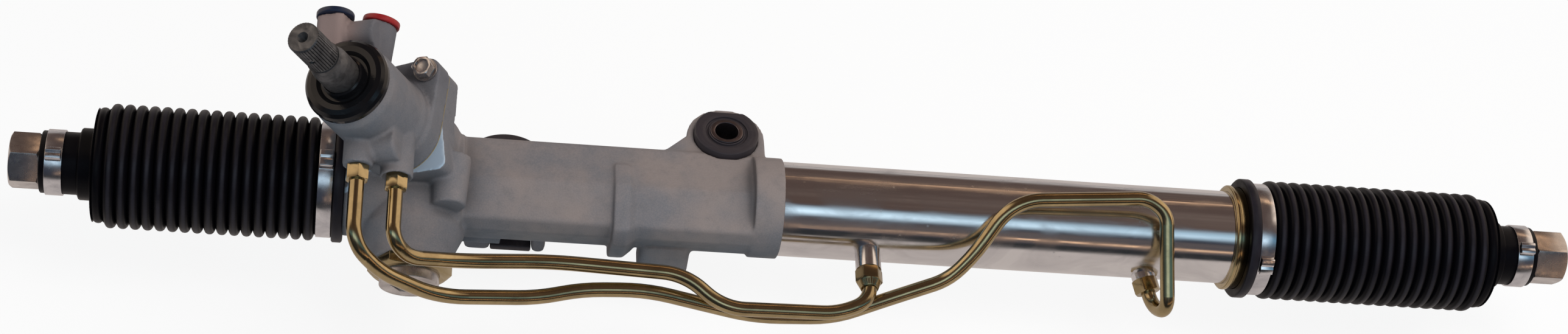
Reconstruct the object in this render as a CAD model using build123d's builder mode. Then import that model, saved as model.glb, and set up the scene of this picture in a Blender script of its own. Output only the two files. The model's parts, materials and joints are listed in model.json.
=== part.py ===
from build123d import *
import os
from math import atan2, cos, pi, radians, sin, sqrt, tan

# Hydraulic rack and pinion steering gear. Millimetres, +Z up along the mounting bolts.
# The origin is on the axis of the right-hand mounting hole, at the seat under its sleeve.
# The rack runs along X, and the side that faces a viewer of the photograph is -Y.

# Overall layout, measured from the right-hand mounting hole
RACK_Y = -37.0
RACK_Z = 24.0
LEFT_MOUNT_X = -118.0
LEFT_MOUNT_Y = 13.0
LEFT_SEAT_Z = -49.0
PINION_X = -163.5
GUIDE_X = -169.0
HOUSING_LEFT_X = -206.0
BEAM_LEFT_X = -150.0
COLLAR_LENGTH = 16.0
TUBE_SEAT_X = 18.0
TUBE_SOCKET = 12.0
TUBE_END_X = 299.0
LEFT_TIP_X = -382.0
RIGHT_TIP_X = 482.0

# Running and fitting clearances
RUNNING = 0.05
SLIDING = 0.03
BOOT_GAP = 0.6

# Rack bar and its teeth
BAR_RADIUS = 12.0
MODULE = 1.75
PRESSURE_ANGLE = 25.0
PINION_TEETH = 8
PROFILE_SHIFT = 0.3
ADDENDUM = 0.9
ROOT_CLEARANCE = 0.35
BACKLASH = 0.2
STROKE = 65.0
TOOTH_MARGIN = 21.0
TOOTH_TIP_HEIGHT = 9.0

# Direction of the input shaft, and how far it reaches along its own axis from the rack
SHAFT_LEAN = 24.58
SHAFT_TIP = -21.68
SHAFT_END = 160.0
JOINT_PLANE = 40.0
GASKET_THICKNESS = 0.6
BOLT_DEPTH = 13.0
TOWER_PLATE = 17.0
VALVE_TOP = 104.0

# Tube, piston and end ring
TUBE_RADIUS = 26.0
TUBE_WALL = 3.0
COLLAR_RADIUS = 27.7
PISTON_WIDTH = 14.0
PISTON_GAP = 0.3
PISTON_RING_WIDTH = 3.0
PISTON_RING_DEPTH = 2.4
SEAL_LENGTH = 8.0
END_BUSH_LENGTH = 14.0
END_RING_RADIUS = 28.7
END_RING_LAP = 16.0
END_RING_LENGTH = 20.0
END_RING_SHOWN = 7.0
END_RING_BEAD = 0.7
PORT_A_X = 78.6
PORT_A_DROP = 8.1
PORT_B_X = 229.0
PORT_B_DROP = 24.0
PORT_B_LEAN = 15.0

# Rack ends
HEX_FLATS = 27.0
LEFT_HEX_LENGTH = 16.0
RIGHT_HEX_LENGTH = 19.0
STEM_RADIUS = 14.5
STEM_LENGTH = 32.0
STUD_RADIUS = 7.0
STUD_LENGTH = 20.0
THREAD_RADIUS = 6.25
THREAD_DEPTH = 26.0
WASHER_THICKNESS = 1.2

# Boots and their clamps
BOOT_CREST = 33.3
BOOT_ROOT = 27.6
BOOT_SKIN = 3.0
BOOT_LIP = 33.5
BOOT_LIP_LENGTH = 6.0
STUB_RADIUS = 28.5
CUFF_WALL = 1.8
CUFF_LENGTH = 15.0
NECK_WALL = 2.2
COLLAR_STEP = 19.3
COLLAR_STEP_LENGTH = 8.0
BOOT_LIP_EASE = 1.6
FIRST_FOLD_DROP = 2.2
LEFT_FOLDS = 18
RIGHT_FOLDS = 19
BAND_THICKNESS = 0.9
LARGE_BAND_WIDTH = 8.0
SMALL_BAND_WIDTH = 9.0

# Mounting bushes
SLEEVE_BORE = 6.5
SLEEVE_RADIUS = 9.15
BUSH_RADIUS = 17.8
BUSH_FLAT = 15.0
BOSS_RADIUS = 21.7
RIGHT_SLEEVE_LENGTH = 45.0
RIGHT_BUSH_STAND = 5.0
LEFT_SLEEVE_LENGTH = 45.0
LEFT_FLANGE_RADIUS = 24.4
LEFT_FLANGE_THICKNESS = 6.0

# Pipes
PIPE_RADIUS = 4.0
PIPE_WALL = 1.0
PIPE_BEND = 16.0
NUT_FLATS = 11.0
NUT_LENGTH = 8.0
TUBE_NUT_FLATS = 13.0
TUBE_NUT_TAIL = 4.0


# Directions of the tilted axes
shaft = Vector(
    -sin(radians(SHAFT_LEAN)),
    cos(radians(SHAFT_LEAN)) * sin(radians(SHAFT_TIP)),
    cos(radians(SHAFT_LEAN)) * cos(radians(SHAFT_TIP)),
)
away = shaft.cross(Vector(1, 0, 0)).normalized()
side = away.cross(shaft)
guide_way = -away
guide_side = guide_way.cross(Vector(1, 0, 0))

# Rack and pinion geometry, square to the shaft
pitch_radius = MODULE * PINION_TEETH / 2
tooth_pitch = pi * MODULE
rack_pitch = tooth_pitch / cos(radians(SHAFT_LEAN))
reference_height = TOOTH_TIP_HEIGHT - ADDENDUM * MODULE
pinion_offset = reference_height + PROFILE_SHIFT * MODULE + pitch_radius
pinion_tip = pitch_radius + MODULE * (PROFILE_SHIFT + ADDENDUM)
pinion_root = pinion_offset - TOOTH_TIP_HEIGHT - ROOT_CLEARANCE
rack_root_height = pinion_offset - pinion_tip - ROOT_CLEARANCE
tube_bore = TUBE_RADIUS - TUBE_WALL
toothed_length = 2 * (STROKE + TOOTH_MARGIN)

rack_origin = Vector(0, RACK_Y, RACK_Z)
rack_axis = Axis(rack_origin, (1, 0, 0))
lengthwise = Plane(origin=rack_origin, x_dir=(1, 0, 0), z_dir=(0, -1, 0))
pinion_origin = Vector(PINION_X, RACK_Y, RACK_Z) + away * pinion_offset
shaft_axis = Axis(pinion_origin, shaft)
along_shaft = Plane(origin=pinion_origin, x_dir=shaft, z_dir=away)
guide_origin = Vector(GUIDE_X, RACK_Y, RACK_Z)
guide_axis = Axis(guide_origin, guide_way)
along_guide = Plane(origin=guide_origin, x_dir=guide_way, z_dir=guide_side)


def across(x):
    """Plane square to the rack at x, with its own x towards +Y and its own y up."""
    return Plane(origin=(x, RACK_Y, RACK_Z), x_dir=(0, 1, 0), z_dir=(1, 0, 0))


def from_shaft(distance, sideways, outward):
    """Point given along the shaft, to its side, and away from the rack."""
    return pinion_origin + shaft * distance + side * sideways + away * outward


def on_shaft(distance, sideways=0.0, outward=0.0):
    """Plane square to the input shaft, with its own y pointing away from the rack."""
    return Plane(origin=from_shaft(distance, sideways, outward), x_dir=side, z_dir=shaft)


def clear_of_boot():
    """Cut back whatever comes too near the lip of the left-hand boot."""
    ring(lengthwise, rack_axis, HOUSING_LEFT_X - 40, HOUSING_LEFT_X, BOOT_LIP + BOOT_GAP, STUB_RADIUS,
         mode=Mode.SUBTRACT)


def on_guide(distance):
    """Plane square to the rack guide, with its own x along the rack."""
    return Plane(origin=guide_origin + guide_way * distance, x_dir=(1, 0, 0), z_dir=guide_way)


def towards(start, direction, x_hint=(1, 0, 0)):
    """Plane at a point, square to a direction."""
    ahead = Vector(*direction).normalized()
    sideways = Vector(*x_hint)
    sideways = sideways - ahead * sideways.dot(ahead)
    return Plane(origin=start, x_dir=sideways, z_dir=ahead)


def ring(plane, axis, start, end, outer, inner=0.0, mode=Mode.ADD):
    """Turn a plain ring about an axis that is the plane's own x."""
    with BuildSketch(plane) as profile:
        with Locations(((start + end) / 2, (inner + outer) / 2)):
            Rectangle(end - start, outer - inner)
    revolve(profile.sketch, axis=axis, mode=mode)


def turned(plane, axis, points, mode=Mode.ADD):
    """Turn a closed outline about an axis that is the plane's own x."""
    with BuildSketch(plane) as profile:
        with BuildLine():
            Polyline(*points, close=True)
        make_face()
    revolve(profile.sketch, axis=axis, mode=mode)


def round_bar(plane, radius, length, mode=Mode.ADD, taper=0.0):
    """Round bar or hole that starts on a plane and runs along its normal."""
    with BuildSketch(plane) as profile:
        Circle(radius)
    extrude(profile.sketch, amount=length, taper=taper, mode=mode)


def hex_bar(plane, flats, length, mode=Mode.ADD):
    """Hexagon bar or socket that starts on a plane and runs along its normal."""
    with BuildSketch(plane) as profile:
        RegularPolygon(radius=flats / sqrt(3), side_count=6)
    extrude(profile.sketch, amount=length, mode=mode)


def ease_corners(seat, flats, length, both=True):
    """Cone off the corners of a hexagon that stands on a plane, at its far end or at both ends."""
    lengthwise_plane = Plane(origin=seat.origin, x_dir=seat.z_dir, z_dir=seat.x_dir)
    low, high, deep = 0.49 * flats, 0.7 * flats, 0.12 * flats
    for end, inward in ((length, -1), (0, 1)):
        if both or end:
            turned(lengthwise_plane, Axis(seat.origin, seat.z_dir),
                   [(end - inward * 0.1, low), (end - inward * 0.1, high), (end + inward * deep, high)],
                   mode=Mode.SUBTRACT)


# Places that several pieces share
seal_left_x = TUBE_SEAT_X - SEAL_LENGTH
seal_pocket = 17.0
bolt_places = [(20.8, 26.6), (-24.8, 20.2)]
bolt_hole = 4.2
gasket_top = JOINT_PLANE + GASKET_THICKNESS
flange_top = 55.0
valve_bore = 16.0
body_radius = 23.0
port_left = (78.0, -4.0, -36.0)
port_right = (62.5, 11.0, -38.5)
guide_bore = 16.0
guide_mouth = 46.0
lower_pocket = 11.0
cap_bore = 12.4
stub_end = HOUSING_LEFT_X - CUFF_LENGTH + 1.0
upper_pocket = 17.0
bearing_start = 19.5
bearing_width = 11.0
shaft_seal_start = 97.0
shaft_bearing_end = 95.5
shaft_bearing_radius = 11.5
spool_radius = 11.0
spool_start = 50.4
spool_end = 86.0
journal_radius = 9.0
journal_end = 106.0
stem_radius = 10.0
stem_end = 128.0
tip_radius = 8.4
serration_start = 137.0
pin_place = 148.0
pin_radius = 1.5
pin_half = 7.6
torsion_thick = 3.2
torsion_thin = 2.6
lower_journal = 5.2
lower_thread = 4.8


# Casting that carries everything
beam_outline = [
    (21.6, 18.0), (-7.5, 18.0), (-27.0, 7.0), (-27.0, -3.0),
    (-19.0, -18.0), (-14.0, -22.0), (18.0, -22.0), (26.0, -14.0), (26.0, 14.0),
]
rib_outline = [
    (-7.0, 14.0), (-13.5, 16.2), (-32.0, 8.0), (-32.0, -4.0),
    (-24.0, -21.5), (-18.0, -28.0), (-9.0, -28.0),
]
bracket_outline = [
    (-52.0, 4.0), (-14.0, 4.0), (-14.0, -11.0), (0.0, -11.0),
    (0.0, -44.0), (-8.0, -44.0), (-40.0, -14.0), (-52.0, -2.0),
]
rib_left = -62.5
rib_width = 8.0
rib_flare = 5.0
left_boss_base = LEFT_SEAT_Z + 4.0
left_boss_top = LEFT_SEAT_Z + LEFT_SLEEVE_LENGTH - LEFT_FLANGE_THICKNESS - 1.0
right_boss_base = 3.0
right_boss_top = RIGHT_SLEEVE_LENGTH - RIGHT_BUSH_STAND
collar_left_x = TUBE_SEAT_X + TUBE_SOCKET - COLLAR_LENGTH
collar_right_x = TUBE_SEAT_X + TUBE_SOCKET

with BuildPart() as rack_housing:
    ring(lengthwise, rack_axis, HOUSING_LEFT_X, BEAM_LEFT_X + 6, 29.5)
    ring(lengthwise, rack_axis, stub_end, HOUSING_LEFT_X, STUB_RADIUS)
    with BuildSketch(across(BEAM_LEFT_X)) as beam:
        with BuildLine():
            Polyline(*beam_outline, close=True)
        make_face()
        fillet(beam.vertices(), radius=2.5)
    extrude(amount=collar_left_x + 2 - BEAM_LEFT_X)
    ring(lengthwise, rack_axis, collar_left_x, collar_right_x, COLLAR_RADIUS)
    with BuildSketch(across(rib_left)) as rib:
        with BuildLine():
            Polyline(*rib_outline, close=True)
        make_face()
        fillet(rib.vertices(), radius=2.0)
    extrude(amount=rib_width)
    with BuildSketch(across(rib_left + rib_width)) as rib_flank:
        with BuildLine():
            Polyline(*rib_outline, close=True)
        make_face()
    extrude(amount=rib_flare, taper=42)
    # lug with a round pad under the beam
    with BuildSketch(Plane.XY.offset(RACK_Z - 34)) as lug:
        with Locations((-31.5, RACK_Y - 14)):
            RectangleRounded(28, 18, 4)
    extrude(amount=20)
    with BuildSketch(Plane.XY.offset(RACK_Z - 37)) as pad:
        with Locations((-31.5, RACK_Y - 14)):
            Circle(8)
    extrude(amount=6)
    # right-hand mounting boss and its web
    with BuildSketch(Plane.XY.offset(right_boss_base)) as right_boss:
        Circle(BOSS_RADIUS)
        with BuildLine():
            Polyline((-BOSS_RADIUS, 0), (-36, RACK_Y + 22), (-36, RACK_Y + 8),
                     (BOSS_RADIUS, RACK_Y + 8), (BOSS_RADIUS, 0), close=True)
        make_face()
    extrude(amount=right_boss_top - right_boss_base)
    # left-hand mounting boss, its bracket, and the window in its front
    with BuildSketch(Plane.XY.offset(left_boss_base)) as left_boss:
        with Locations((LEFT_MOUNT_X, LEFT_MOUNT_Y)):
            Circle(BOSS_RADIUS)
    extrude(amount=left_boss_top - left_boss_base)
    with BuildSketch(Plane.XY.offset(left_boss_base)) as left_foot:
        with Locations((LEFT_MOUNT_X, LEFT_MOUNT_Y)):
            Circle(LEFT_FLANGE_RADIUS)
    extrude(amount=10)
    with BuildSketch(Plane(origin=(LEFT_MOUNT_X - 27, 0, 0), x_dir=(0, 1, 0), z_dir=(1, 0, 0))) as bracket:
        with BuildLine():
            Polyline(*bracket_outline, close=True)
        make_face()
    extrude(amount=24)
    with BuildSketch(Plane.XY.offset(left_boss_base - 1)) as window:
        with Locations((LEFT_MOUNT_X + 4, LEFT_MOUNT_Y - 22)):
            Rectangle(18, 16)
    extrude(amount=left_boss_top - left_boss_base - 6, mode=Mode.SUBTRACT)
    # pinion tower with its bolted flange
    round_bar(on_shaft(-40), 17, 60)
    with BuildSketch(on_shaft(8)) as tower:
        Circle(25)
        with Locations(bolt_places[1]):
            Circle(7.5)
        with Locations((23.5, -19.5), (-14.0, 24.0)):
            Circle(4.5)
        make_hull()
    extrude(amount=JOINT_PLANE - 8)
    with BuildSketch(on_shaft(JOINT_PLANE - TOWER_PLATE)) as tower_plate:
        Circle(25)
        with Locations((21.8, 29.5), (-14.0, 24.0)):
            Circle(4.5)
        make_hull()
    extrude(amount=TOWER_PLATE)
    clear_of_boot()
    # guide boss
    turned(along_guide, guide_axis,
           [(0, 0), (0, 28), (28, 28), (40, 22.5), (guide_mouth, 21.5), (guide_mouth, 0)])
    # blank boss beside the tower
    blank_start = Vector(-151.0, RACK_Y, RACK_Z) + guide_side * 27 - guide_way * 6
    round_bar(towards(blank_start, guide_way), 11.0, 28, taper=4)
    # holes for the bushes
    with BuildSketch(Plane.XY) as right_hole:
        Circle(BUSH_RADIUS)
        with Locations((0, BUSH_FLAT + 5)):
            Rectangle(2 * BUSH_RADIUS, 10, mode=Mode.SUBTRACT)
    extrude(amount=RIGHT_SLEEVE_LENGTH + 12, mode=Mode.SUBTRACT)
    with BuildSketch(Plane.XY.offset(right_boss_top)) as scallop:
        Circle(BUSH_RADIUS + 1.2)
    extrude(amount=12, mode=Mode.SUBTRACT)
    with BuildSketch(Plane.XY.offset(LEFT_SEAT_Z)) as left_hole:
        with Locations((LEFT_MOUNT_X, LEFT_MOUNT_Y)):
            Circle(BUSH_RADIUS)
    extrude(amount=LEFT_SLEEVE_LENGTH - 3, mode=Mode.SUBTRACT)
    # bore for the rack, pocket for the inner seal, socket for the tube
    ring(lengthwise, rack_axis, stub_end - 1, seal_left_x + 1, 13.6, mode=Mode.SUBTRACT)
    ring(lengthwise, rack_axis, stub_end - 1, HOUSING_LEFT_X + 8, 19, mode=Mode.SUBTRACT)
    ring(lengthwise, rack_axis, seal_left_x, TUBE_SEAT_X + 1, seal_pocket, mode=Mode.SUBTRACT)
    ring(lengthwise, rack_axis, TUBE_SEAT_X, collar_right_x + 1, TUBE_RADIUS, mode=Mode.SUBTRACT)
    # bores for the pinion and its bearings
    round_bar(on_shaft(-16), 10.5, JOINT_PLANE, mode=Mode.SUBTRACT)
    round_bar(on_shaft(bearing_start), upper_pocket, JOINT_PLANE, mode=Mode.SUBTRACT)
    round_bar(on_shaft(-36.5), lower_pocket, 21, mode=Mode.SUBTRACT)
    round_bar(on_shaft(-56), cap_bore, 20, mode=Mode.SUBTRACT)
    round_bar(on_shaft(JOINT_PLANE), 38, 30, mode=Mode.SUBTRACT)
    for place in bolt_places:
        round_bar(on_shaft(JOINT_PLANE - BOLT_DEPTH - 1, *place), bolt_hole, BOLT_DEPTH + 2,
                  mode=Mode.SUBTRACT)
    # bore for the rack guide
    round_bar(on_guide(0), guide_bore, guide_mouth + 1, mode=Mode.SUBTRACT)
rack_housing.part.label = "rack_housing"


# Tube with its two pipe bosses
def port_direction(drop, lean):
    """Direction of a pipe boss, below the horizontal and leaning along the rack."""
    return Vector(sin(radians(lean)), -cos(radians(lean)) * cos(radians(drop)),
                  -cos(radians(lean)) * sin(radians(drop)))


port_a_root = Vector(PORT_A_X, RACK_Y, RACK_Z)
port_b_root = Vector(PORT_B_X, RACK_Y, RACK_Z)
port_a_way = port_direction(PORT_A_DROP, 0)
port_b_way = port_direction(PORT_B_DROP, PORT_B_LEAN)
port_a_end = 38.0
port_b_end = 29.0

with BuildPart() as cylinder_tube:
    ring(lengthwise, rack_axis, TUBE_SEAT_X, TUBE_END_X, TUBE_RADIUS)
    round_bar(towards(port_a_root, port_a_way), 7.0, port_a_end)
    round_bar(towards(port_b_root, port_b_way), 6.5, port_b_end)
    ring(lengthwise, rack_axis, TUBE_SEAT_X - 1, TUBE_END_X + 1, tube_bore, mode=Mode.SUBTRACT)
    round_bar(towards(port_a_root, port_a_way), PIPE_RADIUS + 0.1, port_a_end + 1, mode=Mode.SUBTRACT)
    round_bar(towards(port_b_root, port_b_way), PIPE_RADIUS + 0.1, port_b_end + 1, mode=Mode.SUBTRACT)
cylinder_tube.part.label = "cylinder_tube"

with BuildPart() as cylinder_end_ring:
    end_ring_left = TUBE_END_X - END_RING_LAP
    ring(lengthwise, rack_axis, end_ring_left, end_ring_left + END_RING_LENGTH, END_RING_RADIUS, 18.0)
    ring(lengthwise, rack_axis, end_ring_left + 0.6, end_ring_left + 2.4, END_RING_RADIUS + END_RING_BEAD, 28.0)
    ring(lengthwise, rack_axis, end_ring_left - 1, TUBE_END_X, TUBE_RADIUS, mode=Mode.SUBTRACT)
    ring(lengthwise, rack_axis, TUBE_END_X, TUBE_END_X + 4, 18.0, BAR_RADIUS + 1.5)
cylinder_end_ring.part.label = "cylinder_end_ring"

with BuildPart() as inner_seal:
    ring(lengthwise, rack_axis, seal_left_x, TUBE_SEAT_X, seal_pocket, BAR_RADIUS + RUNNING)
inner_seal.part.label = "inner_seal"

with BuildPart() as end_seal:
    end_seal_left = TUBE_END_X - END_BUSH_LENGTH - SEAL_LENGTH
    ring(lengthwise, rack_axis, end_seal_left, end_seal_left + SEAL_LENGTH, tube_bore, BAR_RADIUS + RUNNING)
end_seal.part.label = "end_seal"

with BuildPart() as end_bush:
    ring(lengthwise, rack_axis, TUBE_END_X - END_BUSH_LENGTH, TUBE_END_X, tube_bore, BAR_RADIUS + RUNNING)
end_bush.part.label = "end_bush"


# Mounting bushes and their sleeves
with BuildPart() as mount_bush_right:
    with BuildSketch(Plane.XY.offset(2)) as bush_plan:
        Circle(BUSH_RADIUS)
        with Locations((0, BUSH_FLAT + 5)):
            Rectangle(2 * BUSH_RADIUS, 10, mode=Mode.SUBTRACT)
        Circle(SLEEVE_RADIUS, mode=Mode.SUBTRACT)
    extrude(amount=RIGHT_SLEEVE_LENGTH - 2.5)
    with BuildSketch(Plane.XY.offset(RIGHT_SLEEVE_LENGTH - 2)) as bush_groove:
        Circle(SLEEVE_RADIUS + 2.6)
        Circle(SLEEVE_RADIUS + 1.0, mode=Mode.SUBTRACT)
    extrude(amount=3, mode=Mode.SUBTRACT)
mount_bush_right.part.label = "mount_bush_right"

with BuildPart() as mount_sleeve_right:
    with BuildSketch() as sleeve_plan:
        Circle(SLEEVE_RADIUS)
        Circle(SLEEVE_BORE, mode=Mode.SUBTRACT)
    extrude(amount=RIGHT_SLEEVE_LENGTH)
mount_sleeve_right.part.label = "mount_sleeve_right"

left_mount = Vector(LEFT_MOUNT_X, LEFT_MOUNT_Y, 0)
with BuildPart() as mount_bush_left:
    with BuildSketch(Plane(left_mount + Vector(0, 0, LEFT_SEAT_Z + 2))) as left_bush_plan:
        Circle(BUSH_RADIUS)
    extrude(amount=LEFT_SLEEVE_LENGTH - 3)
    with BuildSketch(Plane(left_mount + Vector(0, 0, left_boss_top))) as left_flange_plan:
        Circle(LEFT_FLANGE_RADIUS)
    extrude(amount=LEFT_FLANGE_THICKNESS)
    fillet(mount_bush_left.edges().group_by(Axis.Z)[-1], radius=2)
    with BuildSketch(Plane(left_mount + Vector(0, 0, LEFT_SEAT_Z + 1.5))) as left_foot_plan:
        Circle(BUSH_RADIUS + 3)
    extrude(amount=left_boss_base - LEFT_SEAT_Z - 1.5)
    with BuildSketch(Plane(left_mount + Vector(0, 0, LEFT_SEAT_Z))) as left_hole_plan:
        Circle(SLEEVE_RADIUS)
    extrude(amount=LEFT_SLEEVE_LENGTH + 5, mode=Mode.SUBTRACT)
mount_bush_left.part.label = "mount_bush_left"

with BuildPart() as mount_sleeve_left:
    with BuildSketch(Plane(left_mount + Vector(0, 0, LEFT_SEAT_Z))) as left_sleeve_plan:
        Circle(SLEEVE_RADIUS)
        Circle(SLEEVE_BORE, mode=Mode.SUBTRACT)
    extrude(amount=LEFT_SLEEVE_LENGTH)
mount_sleeve_left.part.label = "mount_sleeve_left"


# Valve housing on top of the pinion tower
red_tilt = radians(11)
red_way = away * cos(red_tilt) + side * sin(red_tilt)
red_length = 36.3
blue_place = (93.0, -15.5)
red_place = (79.0, -3.0)
tower_top = 43.5
port_bore = 6.2
nut_seat_left = -35.0
nut_seat_right = -35.5

with BuildPart() as valve_housing:
    with BuildSketch(on_shaft(gasket_top)) as valve_flange:
        Circle(25.5)
        with Locations(*bolt_places):
            Circle(7.8)
        make_hull()
    extrude(amount=flange_top - gasket_top)
    turned(along_shaft, shaft_axis,
           [(gasket_top, 0), (gasket_top, 24), (flange_top + 4, body_radius + 1), (flange_top + 8, body_radius),
            (VALVE_TOP - 6, body_radius), (VALVE_TOP, body_radius - 2.5), (VALVE_TOP, 0)])
    # square port tower, round port tower, and the cross boss between them
    with BuildSketch(Plane(origin=from_shaft(blue_place[0], blue_place[1], 8), x_dir=side, z_dir=away)) as blue_tower:
        RectangleRounded(16, 16, 4)
    extrude(amount=tower_top - 8)
    round_bar(towards(from_shaft(red_place[0], red_place[1], 8), red_way, side), 11.5, red_length, taper=4)
    round_bar(towards(from_shaft(88, -15, 33.2), side, away), 9.2, 22.5)
    with BuildSketch(Plane(origin=from_shaft(85, -7, 8), x_dir=side, z_dir=away)) as tower_web:
        RectangleRounded(22, 18, 4)
    extrude(amount=24.5)
    # cross boss low on the body, and the two pipe bosses
    round_bar(towards(from_shaft(66, -10, -20), side, away), 8.0, 25)
    round_bar(towards(from_shaft(port_left[0], port_left[1], -10), -away, side), 8.0, 25)
    round_bar(towards(from_shaft(port_right[0], port_right[1], -8), -away, side), 8.6, 29)
    # bores
    round_bar(on_shaft(gasket_top - 1), valve_bore, 49, mode=Mode.SUBTRACT)
    round_bar(on_shaft(spool_end + 1.6), shaft_bearing_radius, 10, mode=Mode.SUBTRACT)
    round_bar(on_shaft(shaft_seal_start - 1), 13.0, 10, mode=Mode.SUBTRACT)
    round_bar(towards(from_shaft(blue_place[0], blue_place[1], tower_top + 1), -away, side),
              port_bore, 16, mode=Mode.SUBTRACT)
    round_bar(towards(from_shaft(red_place[0], red_place[1], 8) + red_way * (red_length + 1), -red_way, side),
              port_bore, 16, mode=Mode.SUBTRACT)
    round_bar(towards(from_shaft(port_left[0], port_left[1], -36), away, side),
              PIPE_RADIUS + 0.1, 14, mode=Mode.SUBTRACT)
    round_bar(towards(from_shaft(port_right[0], port_right[1], -38), away, side),
              PIPE_RADIUS + 0.1, 14, mode=Mode.SUBTRACT)
    round_bar(towards(from_shaft(port_right[0], port_right[1], nut_seat_right), -away, side),
              7.4, 4, mode=Mode.SUBTRACT)
    for place in bolt_places:
        round_bar(on_shaft(gasket_top - 1, *place), bolt_hole, flange_top + 3 - gasket_top,
                  mode=Mode.SUBTRACT)
    clear_of_boot()
valve_housing.part.label = "valve_housing"

with BuildPart() as valve_gasket:
    with BuildSketch(on_shaft(JOINT_PLANE)) as gasket_plan:
        Circle(25.0)
        with Locations(*bolt_places):
            Circle(7.3)
        make_hull()
        Circle(upper_pocket + 0.5, mode=Mode.SUBTRACT)
        with Locations(*bolt_places):
            Circle(bolt_hole, mode=Mode.SUBTRACT)
    extrude(amount=GASKET_THICKNESS)
    clear_of_boot()
valve_gasket.part.label = "valve_gasket"

bolt_head_flats = 10.0
bolt_head_height = 7.0
with BuildPart() as valve_housing_bolts:
    for place in bolt_places:
        round_bar(on_shaft(JOINT_PLANE - BOLT_DEPTH, *place), bolt_hole - 0.2,
                  flange_top - JOINT_PLANE + BOLT_DEPTH)
        hex_bar(on_shaft(flange_top, *place), bolt_head_flats, bolt_head_height)
        ease_corners(on_shaft(flange_top, *place), bolt_head_flats, bolt_head_height, both=False)
        round_bar(on_shaft(flange_top, *place), 6.5, 1.6)
        round_bar(on_shaft(flange_top + bolt_head_height - 1.6, *place), 3.7, 2, mode=Mode.SUBTRACT)
valve_housing_bolts.part.label = "valve_housing_bolts"

with BuildPart() as dust_cover:
    turned(along_shaft, shaft_axis,
           [(VALVE_TOP, 10.4), (VALVE_TOP, 20.3), (VALVE_TOP - 3, 20.6), (VALVE_TOP - 3, 22.4),
            (VALVE_TOP + 2.5, 22.7), (VALVE_TOP + 4.6, 22.0), (VALVE_TOP + 6.2, 20.4),
            (VALVE_TOP + 7.0, 18.0), (VALVE_TOP + 6.8, 15.0), (VALVE_TOP + 5.6, 13.0),
            (VALVE_TOP + 5.6, 11.6), (VALVE_TOP + 9.5, 11.3), (VALVE_TOP + 10.2, 10.4)])
    ring(along_shaft, shaft_axis, VALVE_TOP - 4, VALVE_TOP, body_radius + 1, 0, mode=Mode.SUBTRACT)
dust_cover.part.label = "dust_cover"

with BuildPart() as input_seal:
    ring(along_shaft, shaft_axis, shaft_seal_start, VALVE_TOP, 13.0, journal_radius + RUNNING)
input_seal.part.label = "input_seal"

with BuildPart() as input_bearing:
    ring(along_shaft, shaft_axis, spool_end + 2, shaft_bearing_end, shaft_bearing_radius, journal_radius + RUNNING)
input_bearing.part.label = "input_bearing"

with BuildPart() as pinion_bearing:
    ring(along_shaft, shaft_axis, bearing_start, bearing_start + bearing_width, upper_pocket, 14.2)
    ring(along_shaft, shaft_axis, bearing_start, bearing_start + bearing_width, 11.6, 8.5 + RUNNING)
    with Locations(along_shaft):
        with Locations(Location((bearing_start + bearing_width / 2, 0, 0), (0, 90, 0))):
            with PolarLocations(12.9, 10):
                Sphere(1.25)
pinion_bearing.part.label = "pinion_bearing"

with BuildPart() as pinion_seal:
    ring(along_shaft, shaft_axis, bearing_start + bearing_width + 0.5, JOINT_PLANE - 1.5, upper_pocket,
         spool_radius + RUNNING)
pinion_seal.part.label = "pinion_seal"

with BuildPart() as lower_bearing:
    ring(along_shaft, shaft_axis, -26.5, -15.5, lower_pocket, lower_journal + RUNNING)
lower_bearing.part.label = "lower_bearing"

with BuildPart() as pinion_cap:
    round_bar(on_shaft(-45), cap_bore, 8.5)
    hex_bar(on_shaft(-45.5), 11.0, 5, mode=Mode.SUBTRACT)
pinion_cap.part.label = "pinion_cap"


# Caps in the open fluid ports
def port_cap(seat):
    """Plastic cap: a thin disc on the tower and a plug down the port."""
    round_bar(seat, 9.9, 3.2)
    round_bar(towards(seat.origin, -seat.z_dir, seat.x_dir), port_bore - 0.1, 9)


with BuildPart() as port_cap_blue:
    port_cap(towards(from_shaft(blue_place[0], blue_place[1], tower_top), away, side))
port_cap_blue.part.label = "port_cap_blue"

with BuildPart() as port_cap_red:
    port_cap(towards(from_shaft(red_place[0], red_place[1], 8) + red_way * red_length, red_way, side))
port_cap_red.part.label = "port_cap_red"


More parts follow.
